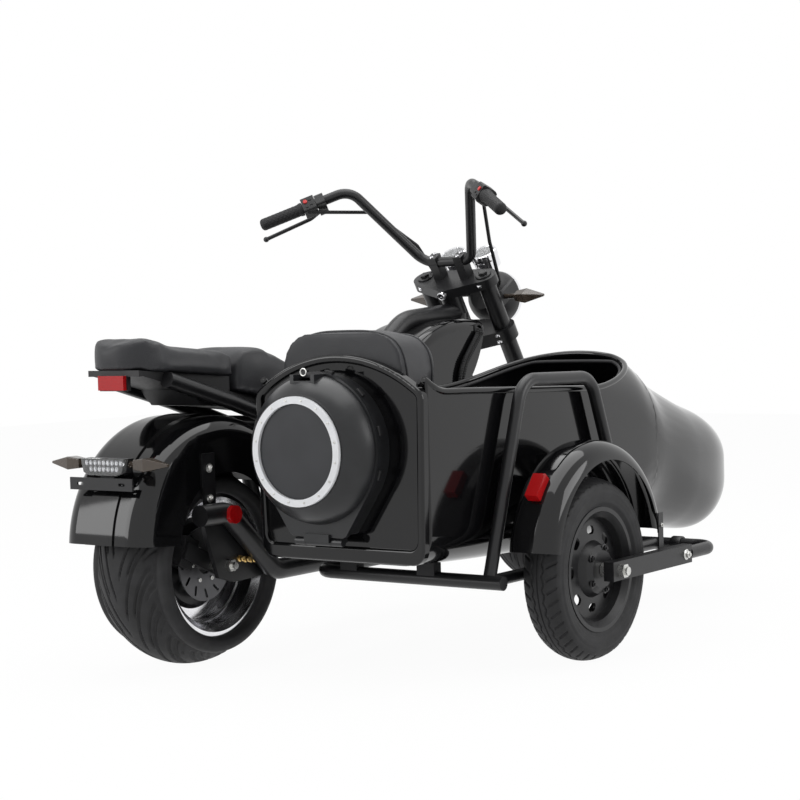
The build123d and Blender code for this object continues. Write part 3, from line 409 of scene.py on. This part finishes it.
def rim_height(x):
    """Height of the tub's rim above the ground at x."""
    if x < rim_line[2][0]:
        return through(x, *rim_line[:3])
    if x < rim_line[3][0]:
        (x0, z0), (x1, z1) = rim_line[2:4]
        return z0 + (z1 - z0) * (x - x0) / (x1 - x0)
    return through(x, *rim_line[3:])


def even_points(points, count):
    """The same line as count + 1 points an equal way apart."""
    ways = [0]
    for a, b in zip(points, points[1:]):
        ways.append(ways[-1] + math.dist(a, b))
    result = []
    k = 0
    for i in range(count + 1):
        want = ways[-1] * i / count
        while k < len(points) - 2 and ways[k + 1] < want:
            k += 1
        share = (want - ways[k]) / max(ways[k + 1] - ways[k], 1e-9)
        result.append(tuple(p + (q - p) * min(share, 1) for p, q in zip(points[k], points[k + 1])))
    return result


def half_section(half, low, high, corner, open_half, open_z):
    """Half outline of a section, from the opening's edge round to the middle of the floor."""
    quarter = [math.radians(9 * k) for k in range(11)]
    flat = half - corner
    line = [(open_half, high if open_z >= high - TOUCH else open_z)]
    top_arc = [(flat + corner * math.sin(a), high - corner + corner * math.cos(a)) for a in quarter]
    line += [p for p in top_arc if p[1] < open_z]
    line += [(flat + corner * math.cos(a), low + corner - corner * math.sin(a)) for a in quarter]
    line.append((0, low))
    return even_points(line, TUB_HALF_RING)


tub_rows, rim_near = [], []
for x, half, low, high, corner in smooth_rows(tub_sections, ROWS_PER_SECTION):
    rise = rim_height(x) if x < rim_line[-1][0] else high
    if rise < high:
        above_corner = max(rise - (high - corner), 0)
        open_half = half - corner + math.sqrt(corner**2 - above_corner**2)
        rim_near.append((x, open_half, rise))
        rim_front = (x, half - corner, high)
    else:
        open_half, rise = 0, high
    tub_rows.append((x, half_section(half, low, high, corner, open_half, rise)))
rim_near.append(rim_front)
nose_x, nose_line = tub_rows[-1]
nose_z = (nose_line[0][1] + nose_line[-1][1]) / 2
for k in range(1, NOSE_RINGS + 1):
    turn = math.pi / 2 * k / NOSE_RINGS
    share = math.cos(turn)
    ring_line = [(y * share, nose_z + (z - nose_z) * share) for y, z in nose_line]
    tub_rows.append((nose_x + NOSE_CAP * math.sin(turn), ring_line))
tub_verts, tub_faces = [], []
for x, line in tub_rows:
    ring = [(-y, z) for y, z in line] + [(y, z) for y, z in reversed(line[:-1])]
    tub_verts += [at(x, TUB_Y + y, z) for y, z in ring]
RING = 2 * TUB_HALF_RING + 1
for k in range(len(tub_rows) - 1):
    for i in range(RING - 1):
        first = k * RING + i
        tub_faces.append([first, first + 1, first + RING + 1, first + RING])
tub = piece("tub_skin", [(tub_verts, tub_faces)], "chassis", "gloss_black", GLOSS, LINING, sharp=60)
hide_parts("sidecar_tub")
wall = tub.modifiers.new("wall", "SOLIDIFY")
wall.thickness = TUB_WALL / 1000
wall.offset = -1
wall.material_offset = 1
wall.material_offset_rim = 0


def along_rim(inset, drop, skip):
    """Points all along the rim from the rear right round the front, a little inside and below it."""
    near = [(x, y - inset, z - drop) for x, y, z in rim_near[::-3][skip:]]
    right_side = [at(x, TUB_Y - y, z) for x, y, z in reversed(near)]
    return right_side + [at(x, TUB_Y + y, z) for x, y, z in near]


strand("tub_rim_roll", along_rim(3, 2, 0), BEAD_R, "chassis", GLOSS)
strand("tub_rim_trim", along_rim(17, 9, 2), TRIM_R, "chassis", RUBBER)

# Tyres: the part's own cross-section with the tread's grooves and rings on the side walls
AROUND = 640
CROWN_STEPS = 90
WALL_STEPS = 16
WALL_RELIEF = 1.2


def edge_step(value, half_width, soft):
    """1 inside a band about 0, falling to 0 across its soft edge."""
    return min(max((half_width + soft - abs(value)) / soft, 0), 1)


def sweeping(turn, side, pitch):
    """Long grooves that run almost along the tread and sweep out to the shoulder, and short cuts."""
    a = min(abs(side), 1)
    phase = (turn * pitch - 2.4 * (1 - a)**1.5 + (0.5 if side > 0 else 0)) % 1
    deep = edge_step(phase - 0.5, 0.06, 0.05) * edge_step(a - 0.52, 0.4, 0.04)
    deep = max(deep, edge_step(phase - 0.2, 0.04, 0.05) * edge_step(a - 0.62, 0.26, 0.04))
    return max(deep, 0.7 * edge_step(phase - 0.8, 0.03, 0.05) * edge_step(a - 0.86, 0.1, 0.03))


def slanted(turn, side, pitch):
    """Slanted shoulder grooves with a wavy groove each side of the middle."""
    a = abs(side)
    phase = (turn * pitch + 0.9 * a + (0.5 if side > 0 else 0)) % 1
    deep = edge_step(phase - 0.5, 0.07, 0.06) * edge_step(a - 0.74, 0.24, 0.04)
    wave = 0.3 + 0.05 * math.sin(2 * math.pi * turn * pitch)
    return max(deep, edge_step(a - wave, 0.025, 0.03), 0.8 * edge_step(a, 0.012, 0.03))


def tread_tyre(name, node, body, radius, width, lip, half, drop, pitch, pattern, depth):
    """Tyre in place of a node: its side walls from the rim's lip, and a crown cut by a pattern."""
    shoulder = (0.43 * width, radius - drop)
    widest = (width / 2, (radius + lip) / 2)
    edge = (half - 2, lip)
    bead = (half - 8, lip - 18)
    crown = arc_points(shoulder, (0, radius), (-shoulder[0], shoulder[1]), CROWN_STEPS)
    wall_line = arc_points(edge, widest, shoulder, WALL_STEPS)
    half_line = [bead] + wall_line + [shoulder]
    profile = half_line + crown[1:] + [(-y, r) for y, r in reversed(half_line)]
    centre = middle(node)
    verts, faces = [], []
    for k in range(AROUND):
        turn = k / AROUND
        c, s = math.cos(2 * math.pi * turn), math.sin(2 * math.pi * turn)
        for y, r in profile:
            side = y / shoulder[0]
            if r > shoulder[1] - 8:
                r -= depth * pattern(turn, side, pitch)
            share = (r - lip) / (radius - drop - lip)
            if 0 < share < 0.8:
                ring = max(edge_step(share - 0.2, 0.03, 0.02), edge_step(share - 0.62, 0.025, 0.02))
                y += math.copysign(WALL_RELIEF * ring, y) - math.copysign(WALL_RELIEF, y)
            verts.append(centre + Vector((r * c, y, r * s)) / 1000)
    n = len(profile)
    for k in range(AROUND):
        j = (k + 1) % AROUND
        for i in range(n):
            h = (i + 1) % n
            faces.append([k * n + i, k * n + h, j * n + h, j * n + i])
    tyre = piece(name, [(verts, faces)], body, "tyre", TYRE, sharp=50)
    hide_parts(node)


tyre_table = [
    # piece, node, body, radius, width, lip's radius, half rim width, crown's drop, pitches, pattern, depth
    ("rear_tread", "rear_tyre", "rear_wheel", 238, 215, 168, 96, 34, 15, sweeping, 4.5),
    ("front_tread", "front_tyre", "front_wheel", 236, 122, 168, 50, 22, 17, sweeping, 4),
    ("sidecar_tread", "sidecar_tyre", "sidecar_wheel", 212, 100, 144, 42, 14, 44, slanted, 3.5),
]
for tyre_row in tyre_table:
    tread_tyre(*tyre_row)

# Seats: each cushion starts from its CAD solid, is blown up as cloth and has its finest creases eased
CREASE_SMOOTHING = 7
CLOTH_FRAMES = 20
CLOTH_PRESSURE = 4
REST_LEAN = 0.6
PIPING_R = 3.2
PIPING_POINTS = 72
PIPING_LIFT = 0.5
PIPING_AT = 52
RAY_FROM = 800


def evaluated_points(obj):
    """Where an object's vertices lie after its modifiers."""
    graph = bpy.context.evaluated_depsgraph_get()
    shown = obj.evaluated_get(graph)
    mesh = shown.to_mesh()
    points = [v.co.copy() for v in mesh.vertices]
    shown.to_mesh_clear()
    return points


def smooth(work, verts, steps):
    """Eases some vertices of a mesh towards their neighbours."""
    axes = {"use_axis_x": True, "use_axis_y": True, "use_axis_z": True}
    for _ in range(steps):
        bmesh.ops.smooth_vert(work, verts=verts, factor=0.5, **axes)


def blow_up(pad, held, swell):
    """Cloth under pressure, its moves capped and its finest creases eased, applied to the mesh."""
    mesh = pad.data
    pinned = pad.vertex_groups.new(name="pinned")
    pinned.add(held, 1.0, "REPLACE")
    before = [v.co.copy() for v in mesh.vertices]
    cloth = pad.modifiers.new("cloth", "CLOTH")
    cloth.settings.quality = 4
    cloth.settings.use_pressure = True
    cloth.settings.uniform_pressure_force = CLOTH_PRESSURE
    cloth.settings.effector_weights.gravity = 0
    cloth.settings.vertex_group_mass = "pinned"
    scene = bpy.context.scene
    for step in range(1, CLOTH_FRAMES + 1):
        scene.frame_set(step)
    after = evaluated_points(pad)
    pad.modifiers.remove(cloth)
    scene.frame_set(1)
    for v, old, new in zip(mesh.vertices, before, after):
        move = new - old
        if move.length > swell:
            move *= swell / move.length
        v.co = old + move
    work = bmesh.new()
    work.from_mesh(mesh)
    fixed = set(held)
    smooth(work, [v for v in work.verts if v.index not in fixed], CREASE_SMOOTHING)
    work.to_mesh(mesh)
    work.free()
    mesh.update()


def cushion(name, node, resting, voxel, rounding, draw_in, swell):
    """Stuffed piece in place of a node's solid, resting being the direction it lies against."""
    source = bpy.data.objects.new(name + "_start", nodes[node].data.copy())
    bpy.context.collection.objects.link(source)
    weld = source.modifiers.new("weld", "WELD")
    weld.merge_threshold = 1e-5
    grid = source.modifiers.new("grid", "REMESH")
    grid.mode = "VOXEL"
    grid.voxel_size = voxel
    graph = bpy.context.evaluated_depsgraph_get()
    mesh = bpy.data.meshes.new_from_object(source.evaluated_get(graph))
    mesh.name = name
    bpy.data.objects.remove(source)
    work = bmesh.new()
    work.from_mesh(mesh)
    smooth(work, work.verts, rounding)
    work.normal_update()
    against = Vector(resting)
    held = []
    for v in work.verts:
        if v.normal.dot(against) > REST_LEAN:
            held.append(v.index)
        else:
            v.co -= v.normal * draw_in
    work.to_mesh(mesh)
    work.free()
    mesh.materials.clear()
    mesh.shade_smooth()
    pad = placed(name, mesh, "chassis", [VINYL])
    blow_up(pad, held, swell)
    fine = pad.modifiers.new("fine", "SUBSURF")
    fine.levels = fine.render_levels = 1
    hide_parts(node)
    return BVHTree.FromPolygons([v.co for v in mesh.vertices], [list(p.vertices) for p in mesh.polygons])


def ring_on(surface, centre, first, second):
    """Points on a cushion where rays from all round a centre, in the plane of two axes, meet it."""
    points = []
    for k in range(PIPING_POINTS):
        out = spoke(first, second, k / PIPING_POINTS)
        hit = surface.ray_cast(centre + out * RAY_FROM / 1000, -out)[0]
        if hit:
            points.append(hit + out * PIPING_LIFT / 1000)
    return points


cushion_table = [
    # piece, node, way it rests, voxel size, rounding steps, drawn in by, most swell; sizes in metres
    ("rider_cushion", "rider_seat", (0, 0, -1), 0.006, 16, 0.004, 0.006),
    ("pillion_cushion", "pillion_seat", (0, 0, -1), 0.005, 22, 0.003, 0.006),
    ("sidecar_back_cushion", "sidecar_seat_back", (-1, 0, 0), 0.006, 9, 0.006, 0.007),
    ("sidecar_base_cushion", "sidecar_seat_base", (0, 0, -1), 0.009, 8, 0.006, 0.007),
]
surfaces = {row[1]: cushion(*row) for row in cushion_table}
for label, offset in (("rear", -PIPING_AT), ("front", PIPING_AT)):
    centre = middle("sidecar_seat_back") + X_AXIS * offset / 1000
    loop = ring_on(surfaces["sidecar_seat_back"], centre, LEFT, Z_AXIS)
    strand("back_piping_" + label, loop, PIPING_R, "chassis", VINYL, closed=True)

# Grips with crossing grooves, and buttons on the switch housings
BAR_HEIGHT = 850
bar_bend = Vector((-45, -204, BAR_HEIGHT + 272))
bar_end = Vector((-220, -400, BAR_HEIGHT + 274))
grip_line = (bar_bend - bar_end).normalized()
CONTROL_DROOP = 55
ahead = grip_line.cross(Z_AXIS).normalized()
ahead = Matrix.Rotation(math.radians(CONTROL_DROOP), 3, grip_line) @ ahead
over = ahead.cross(grip_line).normalized()
GRIP_R = 17
GRIP_LENGTH = 122
SWITCH_AT = GRIP_LENGTH + 1
GRIP_SIDES = 72
GRIP_PITCH = 12
GRIP_STARTS = 9


def on_grip(inwards, forward, upward, side):
    """A point by the grip on side -1, right, or 1, left."""
    place = bar_end + grip_line * inwards + ahead * forward + over * upward
    return on_fork(place.x, -side * place.y, place.z)


def grip_shape(side):
    """Grip with a rounded end, a collar by the switches and crossing grooves round its middle."""
    profile = [(0, -6), (7, -5.4), (12, -3.6), (15.5, -0.6), (GRIP_R, 4)]
    profile += [(GRIP_R, 4 + k) for k in range(2, GRIP_LENGTH - 14, 2)]
    profile += [(GRIP_R + 2, GRIP_LENGTH - 7), (GRIP_R + 2, GRIP_LENGTH), (14.3, GRIP_LENGTH)]
    root = on_grip(0, 0, 0, side)
    axis = (on_grip(100, 0, 0, side) - root).normalized()
    verts, faces = turned(profile, root, axis, GRIP_SIDES)
    first = axis.orthogonal().normalized()
    for k, point in enumerate(verts):
        height = (point - root).dot(axis) * 1000
        out = point - root - axis * height / 1000
        if 8 < height < GRIP_LENGTH - 12:
            turn = math.atan2(out.dot(axis.cross(first)), out.dot(first)) / (2 * math.pi)
            ways = [abs((height / GRIP_PITCH + way * GRIP_STARTS * turn) % 1 - 0.5) for way in (-1, 1)]
            verts[k] = point - out.normalized() * edge_step(min(ways), 0.08, 0.1) / 1000
    return verts, faces


grips = piece("knurled_grips", [grip_shape(-1), grip_shape(1)], "steering", "rubber", RUBBER, sharp=60)
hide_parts("grips")
SWITCH_BACK = -20
button_profile = [(0, -2), (6, -2), (6, 2.4), (5, 3.4), (0, 3.6)]
buttons = []
for side in (-1, 1):
    inner = on_grip(SWITCH_AT + 12, SWITCH_BACK, 6, side)
    outwards = inner - on_grip(SWITCH_AT + 12, 0, 6, side)
    buttons.append(turned(button_profile, inner, outwards, 24))
piece("red_buttons", buttons, "steering", "red_lens", RED_PLASTIC)
switch_keys = []
for side in (-1, 1):
    for along, up in ((26, -8), (26, 8), (12, -12)):
        place = on_grip(SWITCH_AT + along, SWITCH_BACK, up, side)
        out = (place - on_grip(SWITCH_AT + along, 0, up, side)).normalized()
        axis = (on_grip(100, 0, 0, side) - on_grip(0, 0, 0, side)).normalized()
        switch_keys.append(soft_box(place, (axis, out.cross(axis), out), (4, 2.6, 2.2), 0.8))
piece("switch_keys", switch_keys, "steering", "black_plastic", PLASTIC)

# Steering head: instruments, ignition lock, riser screws, fork caps and pinch bolts
FORK_AXES = (ACROSS_FORK, LEFT, UP_FORK)
LEG_SPREAD = 100
FORK_TOP = 800
RISER_Y = 44
GAUGE_Y = 52
TICKS = 21
FIRST_TICK = -130
TICK_STEP = 13
bezel = [(38.4, -20), (39.5, -16), (39.5, -2), (38, 2), (34, 3), (32, 0.4)]
glass = [(0, 2.4), (20, 2.1), (33.5, 1.2), (33.5, 0.6), (0, 0.6)]
bezels, dials, glasses, needles = [], [], [], []
for side in (-1, 1):
    centre = on_fork(98, GAUGE_Y * side, 818)
    bezels.append(turned(bezel, centre, UP_FORK, 56))
    dials.append(turned([(0, 0.3), (33, 0.3)], centre, UP_FORK, 40))
    glasses.append(turned(glass, centre, UP_FORK, 40))
    for k in range(TICKS):
        out = spoke(ACROSS_FORK, LEFT, (FIRST_TICK + TICK_STEP * k) / 360)
        tick = centre + out * 0.027 + UP_FORK * 0.0005
        needles.append(soft_box(tick, (out, UP_FORK.cross(out), UP_FORK), (2.4, 0.4, 0.15), 0.1))
    needle = centre + ACROSS_FORK * 0.008 + UP_FORK * 0.0006
    needles.append(soft_box(needle, FORK_AXES, (13, 0.6, 0.2), 0.1))
piece("gauge_bezels", bezels, "steering", "chrome", CHROME)
piece("gauge_faces", dials, "steering", "black_plastic", DIAL)
piece("gauge_ticks", needles, "steering", "silver_trim", SILVER)
piece("gauge_glass", glasses, "steering", "clear_lens", CLEAR)
lock_place = on_fork(-79, 0, 786)
lock_profile = [(0, -6), (13, -6), (13, 8), (11.5, 10), (9, 10), (8, 8.6), (2, 8.6), (2, 6), (0, 6)]
piece("ignition_lock", [turned(lock_profile, lock_place, -ACROSS_FORK, 32)], "steering", "chrome", CHROME)
cap = [(0, 0), (23, 0), (23, 3), (21, 5), (13, 5)]
cap_hex = [(13, 5), (13, 11), (11, 12.5), (0, 12.5)]
steering_bolts, steering_screws, fork_caps, split_lines = [], [], [], []
for side in (-1, 1):
    leg_top = on_fork(0, LEG_SPREAD * side, FORK_TOP)
    fork_caps.append(turned(cap, leg_top, UP_FORK, 40))
    fork_caps.append(turned(cap_hex, leg_top, UP_FORK, 6))
    for t in (-10, 10):
        steering_screws += socket_screw(on_fork(t, RISER_Y * side, BAR_HEIGHT + 20), UP_FORK, 5.5)
    for s in (786, 622, 602):
        steering_bolts += hex_bolt(on_fork(-35.5, LEG_SPREAD * side, s), -ACROSS_FORK, 5.5)
    split = on_fork(0, RISER_Y * side, BAR_HEIGHT)
    split_lines.append(soft_box(split, FORK_AXES, (16.6, 14.6, 1.1), 0.4))
piece("fork_caps", fork_caps, "steering", "satin_black", SATIN)
piece("pinch_bolts", steering_bolts, "steering", "chrome", CHROME)
piece("riser_screws", steering_screws, "steering", "chrome", CHROME)
piece("riser_splits", split_lines, "steering", "rubber", RUBBER)

# Headlamp: reflector bowl with its bulb behind the lens, and a bright rim
lamp = middle("headlamp_lens")
bowl = [(63, -10), (56, -6), (40, -9.5), (18, -11), (12, -10.5)]
piece("headlamp_bowl", [turned(bowl, lamp, X_AXIS, 48)], "steering", "chrome", CHROME)
bulb = [(12, -10.5), (11, -4), (7, -1), (0, 0)]
piece("headlamp_bulb", [turned(bulb, lamp, X_AXIS, 32)], "steering", "silver_trim", SILVER)
lamp_rim = [(66.5, 2), (68, 6.5), (72, 7.5), (76.3, 4), (76.3, -8)]
piece("headlamp_rim", [turned(lamp_rim, lamp, X_AXIS, 72)], "steering", "chrome", CHROME)

# Tail lamp: two rows of small reflector cups behind the clear lens
CUP_PITCH = 13.5
CUP_DEPTH = 4.5
tail = middle("tail_lamp_lens")
cups, leds = [], []
for count, rise in ((9, 9), (7, -5)):
    for k in range(count):
        across = (k - (count - 1) / 2) * CUP_PITCH
        place = tail + (LEFT * across + Z_AXIS * rise - BACK * CUP_DEPTH) / 1000
        cups.append(turned([(6, 4.5), (4.5, 1.5), (2, 0.3)], place, BACK, 20))
        leds.append(turned([(2, 0.3), (1.8, 2), (0, 2.6)], place, BACK, 12))
piece("tail_lamp_cups", cups, "chassis", "chrome", CHROME)
piece("tail_lamp_leds", leds, "chassis", "silver_trim", SILVER)

# Luggage box: flat disc inside the ring, ring screws, flange clips and a small lock ring
RING_SCREWS = 16
RING_SCREW_R = 113
CLIP_R = 174
LOCK_RING_R = 8
LOCK_RING_POINTS = 24
ring = middle("lid_ring")
ring_face = Vector((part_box("lid_ring")[0][0], ring.y, ring.z))
disc = [(0, -6.2), (96, -6.2), (103.5, -6.4), (104.5, -7.6)]
piece("lid_disc", [turned(disc, ring_face, BACK, 96)], "luggage_lid", "charcoal_plastic", DISC_GREY)
screws = []
for k in range(RING_SCREWS):
    out = spoke(LEFT, Z_AXIS, (k + 0.5) / RING_SCREWS)
    screws += socket_screw(ring_face + out * RING_SCREW_R / 1000, BACK, 2.6)
piece("ring_screws", screws, "luggage_lid", "steel", ZINC)
box_middle = at(-45, -443, 518)
clips = []
for degrees in (-18, 14, 46, 78, 102, 134, 166, 198):
    out = spoke(LEFT, Z_AXIS, degrees / 360)
    place = box_middle + (out * CLIP_R - BACK * 6) / 1000
    clips.append(soft_box(place, (out.cross(BACK), out, BACK), (11, 3.5, 5), 1.2))
piece("box_clips", clips, "chassis", "charcoal_plastic", PLASTIC)
lock_ring = []
lock_centre = at(-86, -443, 690)
for k in range(LOCK_RING_POINTS):
    lock_ring.append(lock_centre + spoke(LEFT, Z_AXIS, k / LOCK_RING_POINTS) * LOCK_RING_R / 1000)
strand("box_lock_ring", lock_ring, 1.6, "luggage_lid", ZINC, closed=True)

# Fasteners on the chassis, wheels and mudguards
WHEEL_NUTS = 5
WHEEL_NUT_R = 50
WHEEL_NUT_Y = 40.5
DISC_SCREWS = 6
DISC_SCREW_R = 42
chassis_bolts = []
bolt_table = [
    # x, y, z, axis, half width across corners
    (775, -913, 212, -LEFT, 9),
    (701, -885, 290, -LEFT, 6),
    (735, -753, 425, -LEFT, 6),
    (520, -753, 420, LEFT, 6),
    (-60, -133, 400, -LEFT, 7),
    (-60, -133, 470, -LEFT, 7),
    (-60, 133, 400, LEFT, 7),
    (-60, 133, 470, LEFT, 7),
    (430, -172, 212, -LEFT, 12),
    (430, 172, 212, LEFT, 12),
    (780, -115, 282, -LEFT, 6),
    (780, 115, 282, LEFT, 6),
]
for x, y, z, axis, size in bolt_table:
    chassis_bolts += hex_bolt(at(x, y, z), axis, size)
piece("chassis_bolts", chassis_bolts, "chassis", "steel", ZINC)
fitting_body = [(0, 0), (8, 0), (8, 3), (5, 4), (5, 8), (0, 8)]
fitting_hex = [(7, 8), (7, 13), (5.5, 14), (0, 14)]
fittings = []
for x, z in ((38, 250), (58, 246), (78, 243)):
    fittings.append(turned(fitting_body, at(x, -130, z), -LEFT, 24))
    fittings.append(turned(fitting_hex, at(x, -130, z), -LEFT, 6))
piece("brake_fittings", fittings, "chassis", "steel", BRASS)
wheel_nuts = []
for k in range(WHEEL_NUTS):
    out = spoke(X_AXIS, Z_AXIS, k / WHEEL_NUTS)
    place = middle("sidecar_tyre") + (out * WHEEL_NUT_R - LEFT * WHEEL_NUT_Y) / 1000
    wheel_nuts += hex_bolt(place, -LEFT, 7)
piece("sidecar_wheel_nuts", wheel_nuts, "sidecar_wheel", "satin_black", SATIN)
disc_screws = []
disc_face = Vector((rear_axle.x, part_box("rear_brake_disc")[0][1], rear_axle.z))
for k in range(DISC_SCREWS):
    out = spoke(X_AXIS, Z_AXIS, k / DISC_SCREWS)
    disc_screws += socket_screw(disc_face + out * DISC_SCREW_R / 1000, -LEFT, 5)
piece("rear_disc_screws", disc_screws, "rear_wheel", "steel", ZINC)
clamps = []
band = [(16.2, -14), (20, -14), (21, -12), (21, 12), (20, 14), (16.2, 14)]
for place in (at(945, -800, 212), at(945, -330, 212)):
    clamps.append(turned(band, place, LEFT, 40))
piece("chassis_clamps", clamps, "chassis", "satin_black", SATIN)

# Wiring: two spiral-wrapped looms out of a grommet in the tank cover, down its flank to the battery
LOOM_R = 6
WRAP_R = 1.3
WRAP_TURNS = 46
WRAP_STEPS = 9
loom_route = [
    # x, y, z
    (1070, -126, 756), (1048, -127, 735), (1022, -127, 708), (991, -127, 676), (975, -127, 644),
    (968, -126, 600), (958, -124, 550), (942, -116, 500),
]
loom_start = at(1082, -112, 764)
for label, aside in (("near", 0), ("far", 15)):
    route = [loom_start + X_AXIS * aside / 2000] + [at(x + aside, y, z) for x, y, z in loom_route]
    strand("harness_" + label, route, LOOM_R, "chassis", RUBBER)
    steps = WRAP_TURNS * WRAP_STEPS
    line = [Vector(p) for p in even_points([tuple(p) for p in route], steps)]
    spiral = []
    for k in range(steps):
        run = (line[k + 1] - line[k]).normalized()
        side_way = run.cross(X_AXIS).normalized()
        out = spoke(side_way, run.cross(side_way), k / WRAP_STEPS)
        spiral.append(line[k] + out * (LOOM_R + 0.2) / 1000)
    strand("harness_wrap_" + label, spiral, WRAP_R, "chassis", RUBBER)
grommet = [(14, -2), (19, -2), (19, 2.5), (17, 4), (13, 4)]
piece("harness_grommet", [turned(grommet, at(1080, -118, 763), -LEFT, 32)], "chassis", "rubber", RUBBER)

# Camera at the photograph's place, found from the photograph's wheels and handlebar
CAMERA_AT = at(-3314, -3092, 806)
YAW, PITCH, ROLL = math.radians(36.49), math.radians(-2.51), math.radians(-1.66)
LENS = 85.8
SENSOR = 36
level = Vector((math.cos(YAW), math.sin(YAW), 0))
forward = level * math.cos(PITCH) + Z_AXIS * math.sin(PITCH)
right = Vector((math.sin(YAW), -math.cos(YAW), 0))
above = right.cross(forward)
turned_right = right * math.cos(ROLL) + above * math.sin(ROLL)
turned_up = above * math.cos(ROLL) - right * math.sin(ROLL)
camera_data = bpy.data.cameras.new("camera")
camera = bpy.data.objects.new("camera", camera_data)
bpy.context.collection.objects.link(camera)
rotation = Matrix((turned_right, turned_up, -forward)).transposed().to_4x4()
camera.matrix_world = Matrix.Translation(CAMERA_AT) @ rotation
camera_data.lens = LENS
camera_data.sensor_width = SENSOR
camera_data.clip_end = 60
bpy.context.scene.camera = camera
bpy.context.scene.view_settings.view_transform = "Standard"

# Floor, world and lights: white for what the camera, metal and glass see, plainer light on the object


def seen_share(tree):
    """1 for camera, glossy and transmission rays, 0 for the rest."""
    path = tree.nodes.new("ShaderNodeLightPath")
    total = path.outputs["Is Camera Ray"]
    for name in ("Is Glossy Ray", "Is Transmission Ray"):
        either = tree.nodes.new("ShaderNodeMath")
        either.operation = "MAXIMUM"
        tree.links.new(total, either.inputs[0])
        tree.links.new(path.outputs[name], either.inputs[1])
        total = either.outputs[0]
    return total


FLOOR_HALF = 9
FLOOR_GLOW = 0.96
WORLD_LIGHT = 0.45
floor_mesh = bpy.data.meshes.new("floor")
corners = [(x * FLOOR_HALF, y * FLOOR_HALF, 0) for x, y in ((-1, -1), (1, -1), (1, 1), (-1, 1))]
floor_mesh.from_pydata(corners, [], [(0, 1, 2, 3)])
floor = bpy.data.objects.new("floor", floor_mesh)
bpy.context.collection.objects.link(floor)
floor_white = material("floor_white", (0.9, 0.9, 0.9), 0.7, vary=0.01, mottle=2.0)
floor.data.materials.append(floor_white)
tree = floor_white.node_tree
glow = tree.nodes.new("ShaderNodeEmission")
glow.inputs["Strength"].default_value = 1
share = tree.nodes.new("ShaderNodeMath")
share.operation = "MULTIPLY"
share.inputs[1].default_value = FLOOR_GLOW
tree.links.new(seen_share(tree), share.inputs[0])
mix = tree.nodes.new("ShaderNodeMixShader")
tree.links.new(share.outputs[0], mix.inputs["Fac"])
tree.links.new(tree.nodes["Principled BSDF"].outputs["BSDF"], mix.inputs[1])
tree.links.new(glow.outputs["Emission"], mix.inputs[2])
tree.links.new(mix.outputs["Shader"], tree.nodes["Material Output"].inputs["Surface"])
world = bpy.data.worlds.new("studio")
bpy.context.scene.world = world
world.use_nodes = True
tree = world.node_tree
background = tree.nodes["Background"]
background.inputs["Color"].default_value = (1, 1, 1, 1)
strength = tree.nodes.new("ShaderNodeMapRange")
strength.inputs["To Min"].default_value = WORLD_LIGHT
strength.inputs["To Max"].default_value = 1
tree.links.new(seen_share(tree), strength.inputs["Value"])
tree.links.new(strength.outputs["Result"], background.inputs["Strength"])


def area(name, place, target, size, power):
    """Area lamp that faces a target."""
    light = bpy.data.lights.new(name, "AREA")
    light.shape = "RECTANGLE"
    light.size, light.size_y = size
    light.energy = power
    obj = bpy.data.objects.new(name, light)
    bpy.context.collection.objects.link(obj)
    obj.location = place
    obj.rotation_euler = (Vector(target) - Vector(place)).to_track_quat("-Z", "Y").to_euler()


light_table = [
    # name, place, target, width and height in metres, watts
    ("top", (0, 0, 4.0), (0, 0, 0.5), (4, 4), 120),
    ("left", (-4, 2.5, 2.2), (0, 0, 0.6), (2, 3), 70),
    ("right", (1.5, -4.5, 2.4), (0.2, -0.4, 0.5), (3, 2.2), 70),
]
for light_row in light_table:
    area(*light_row)
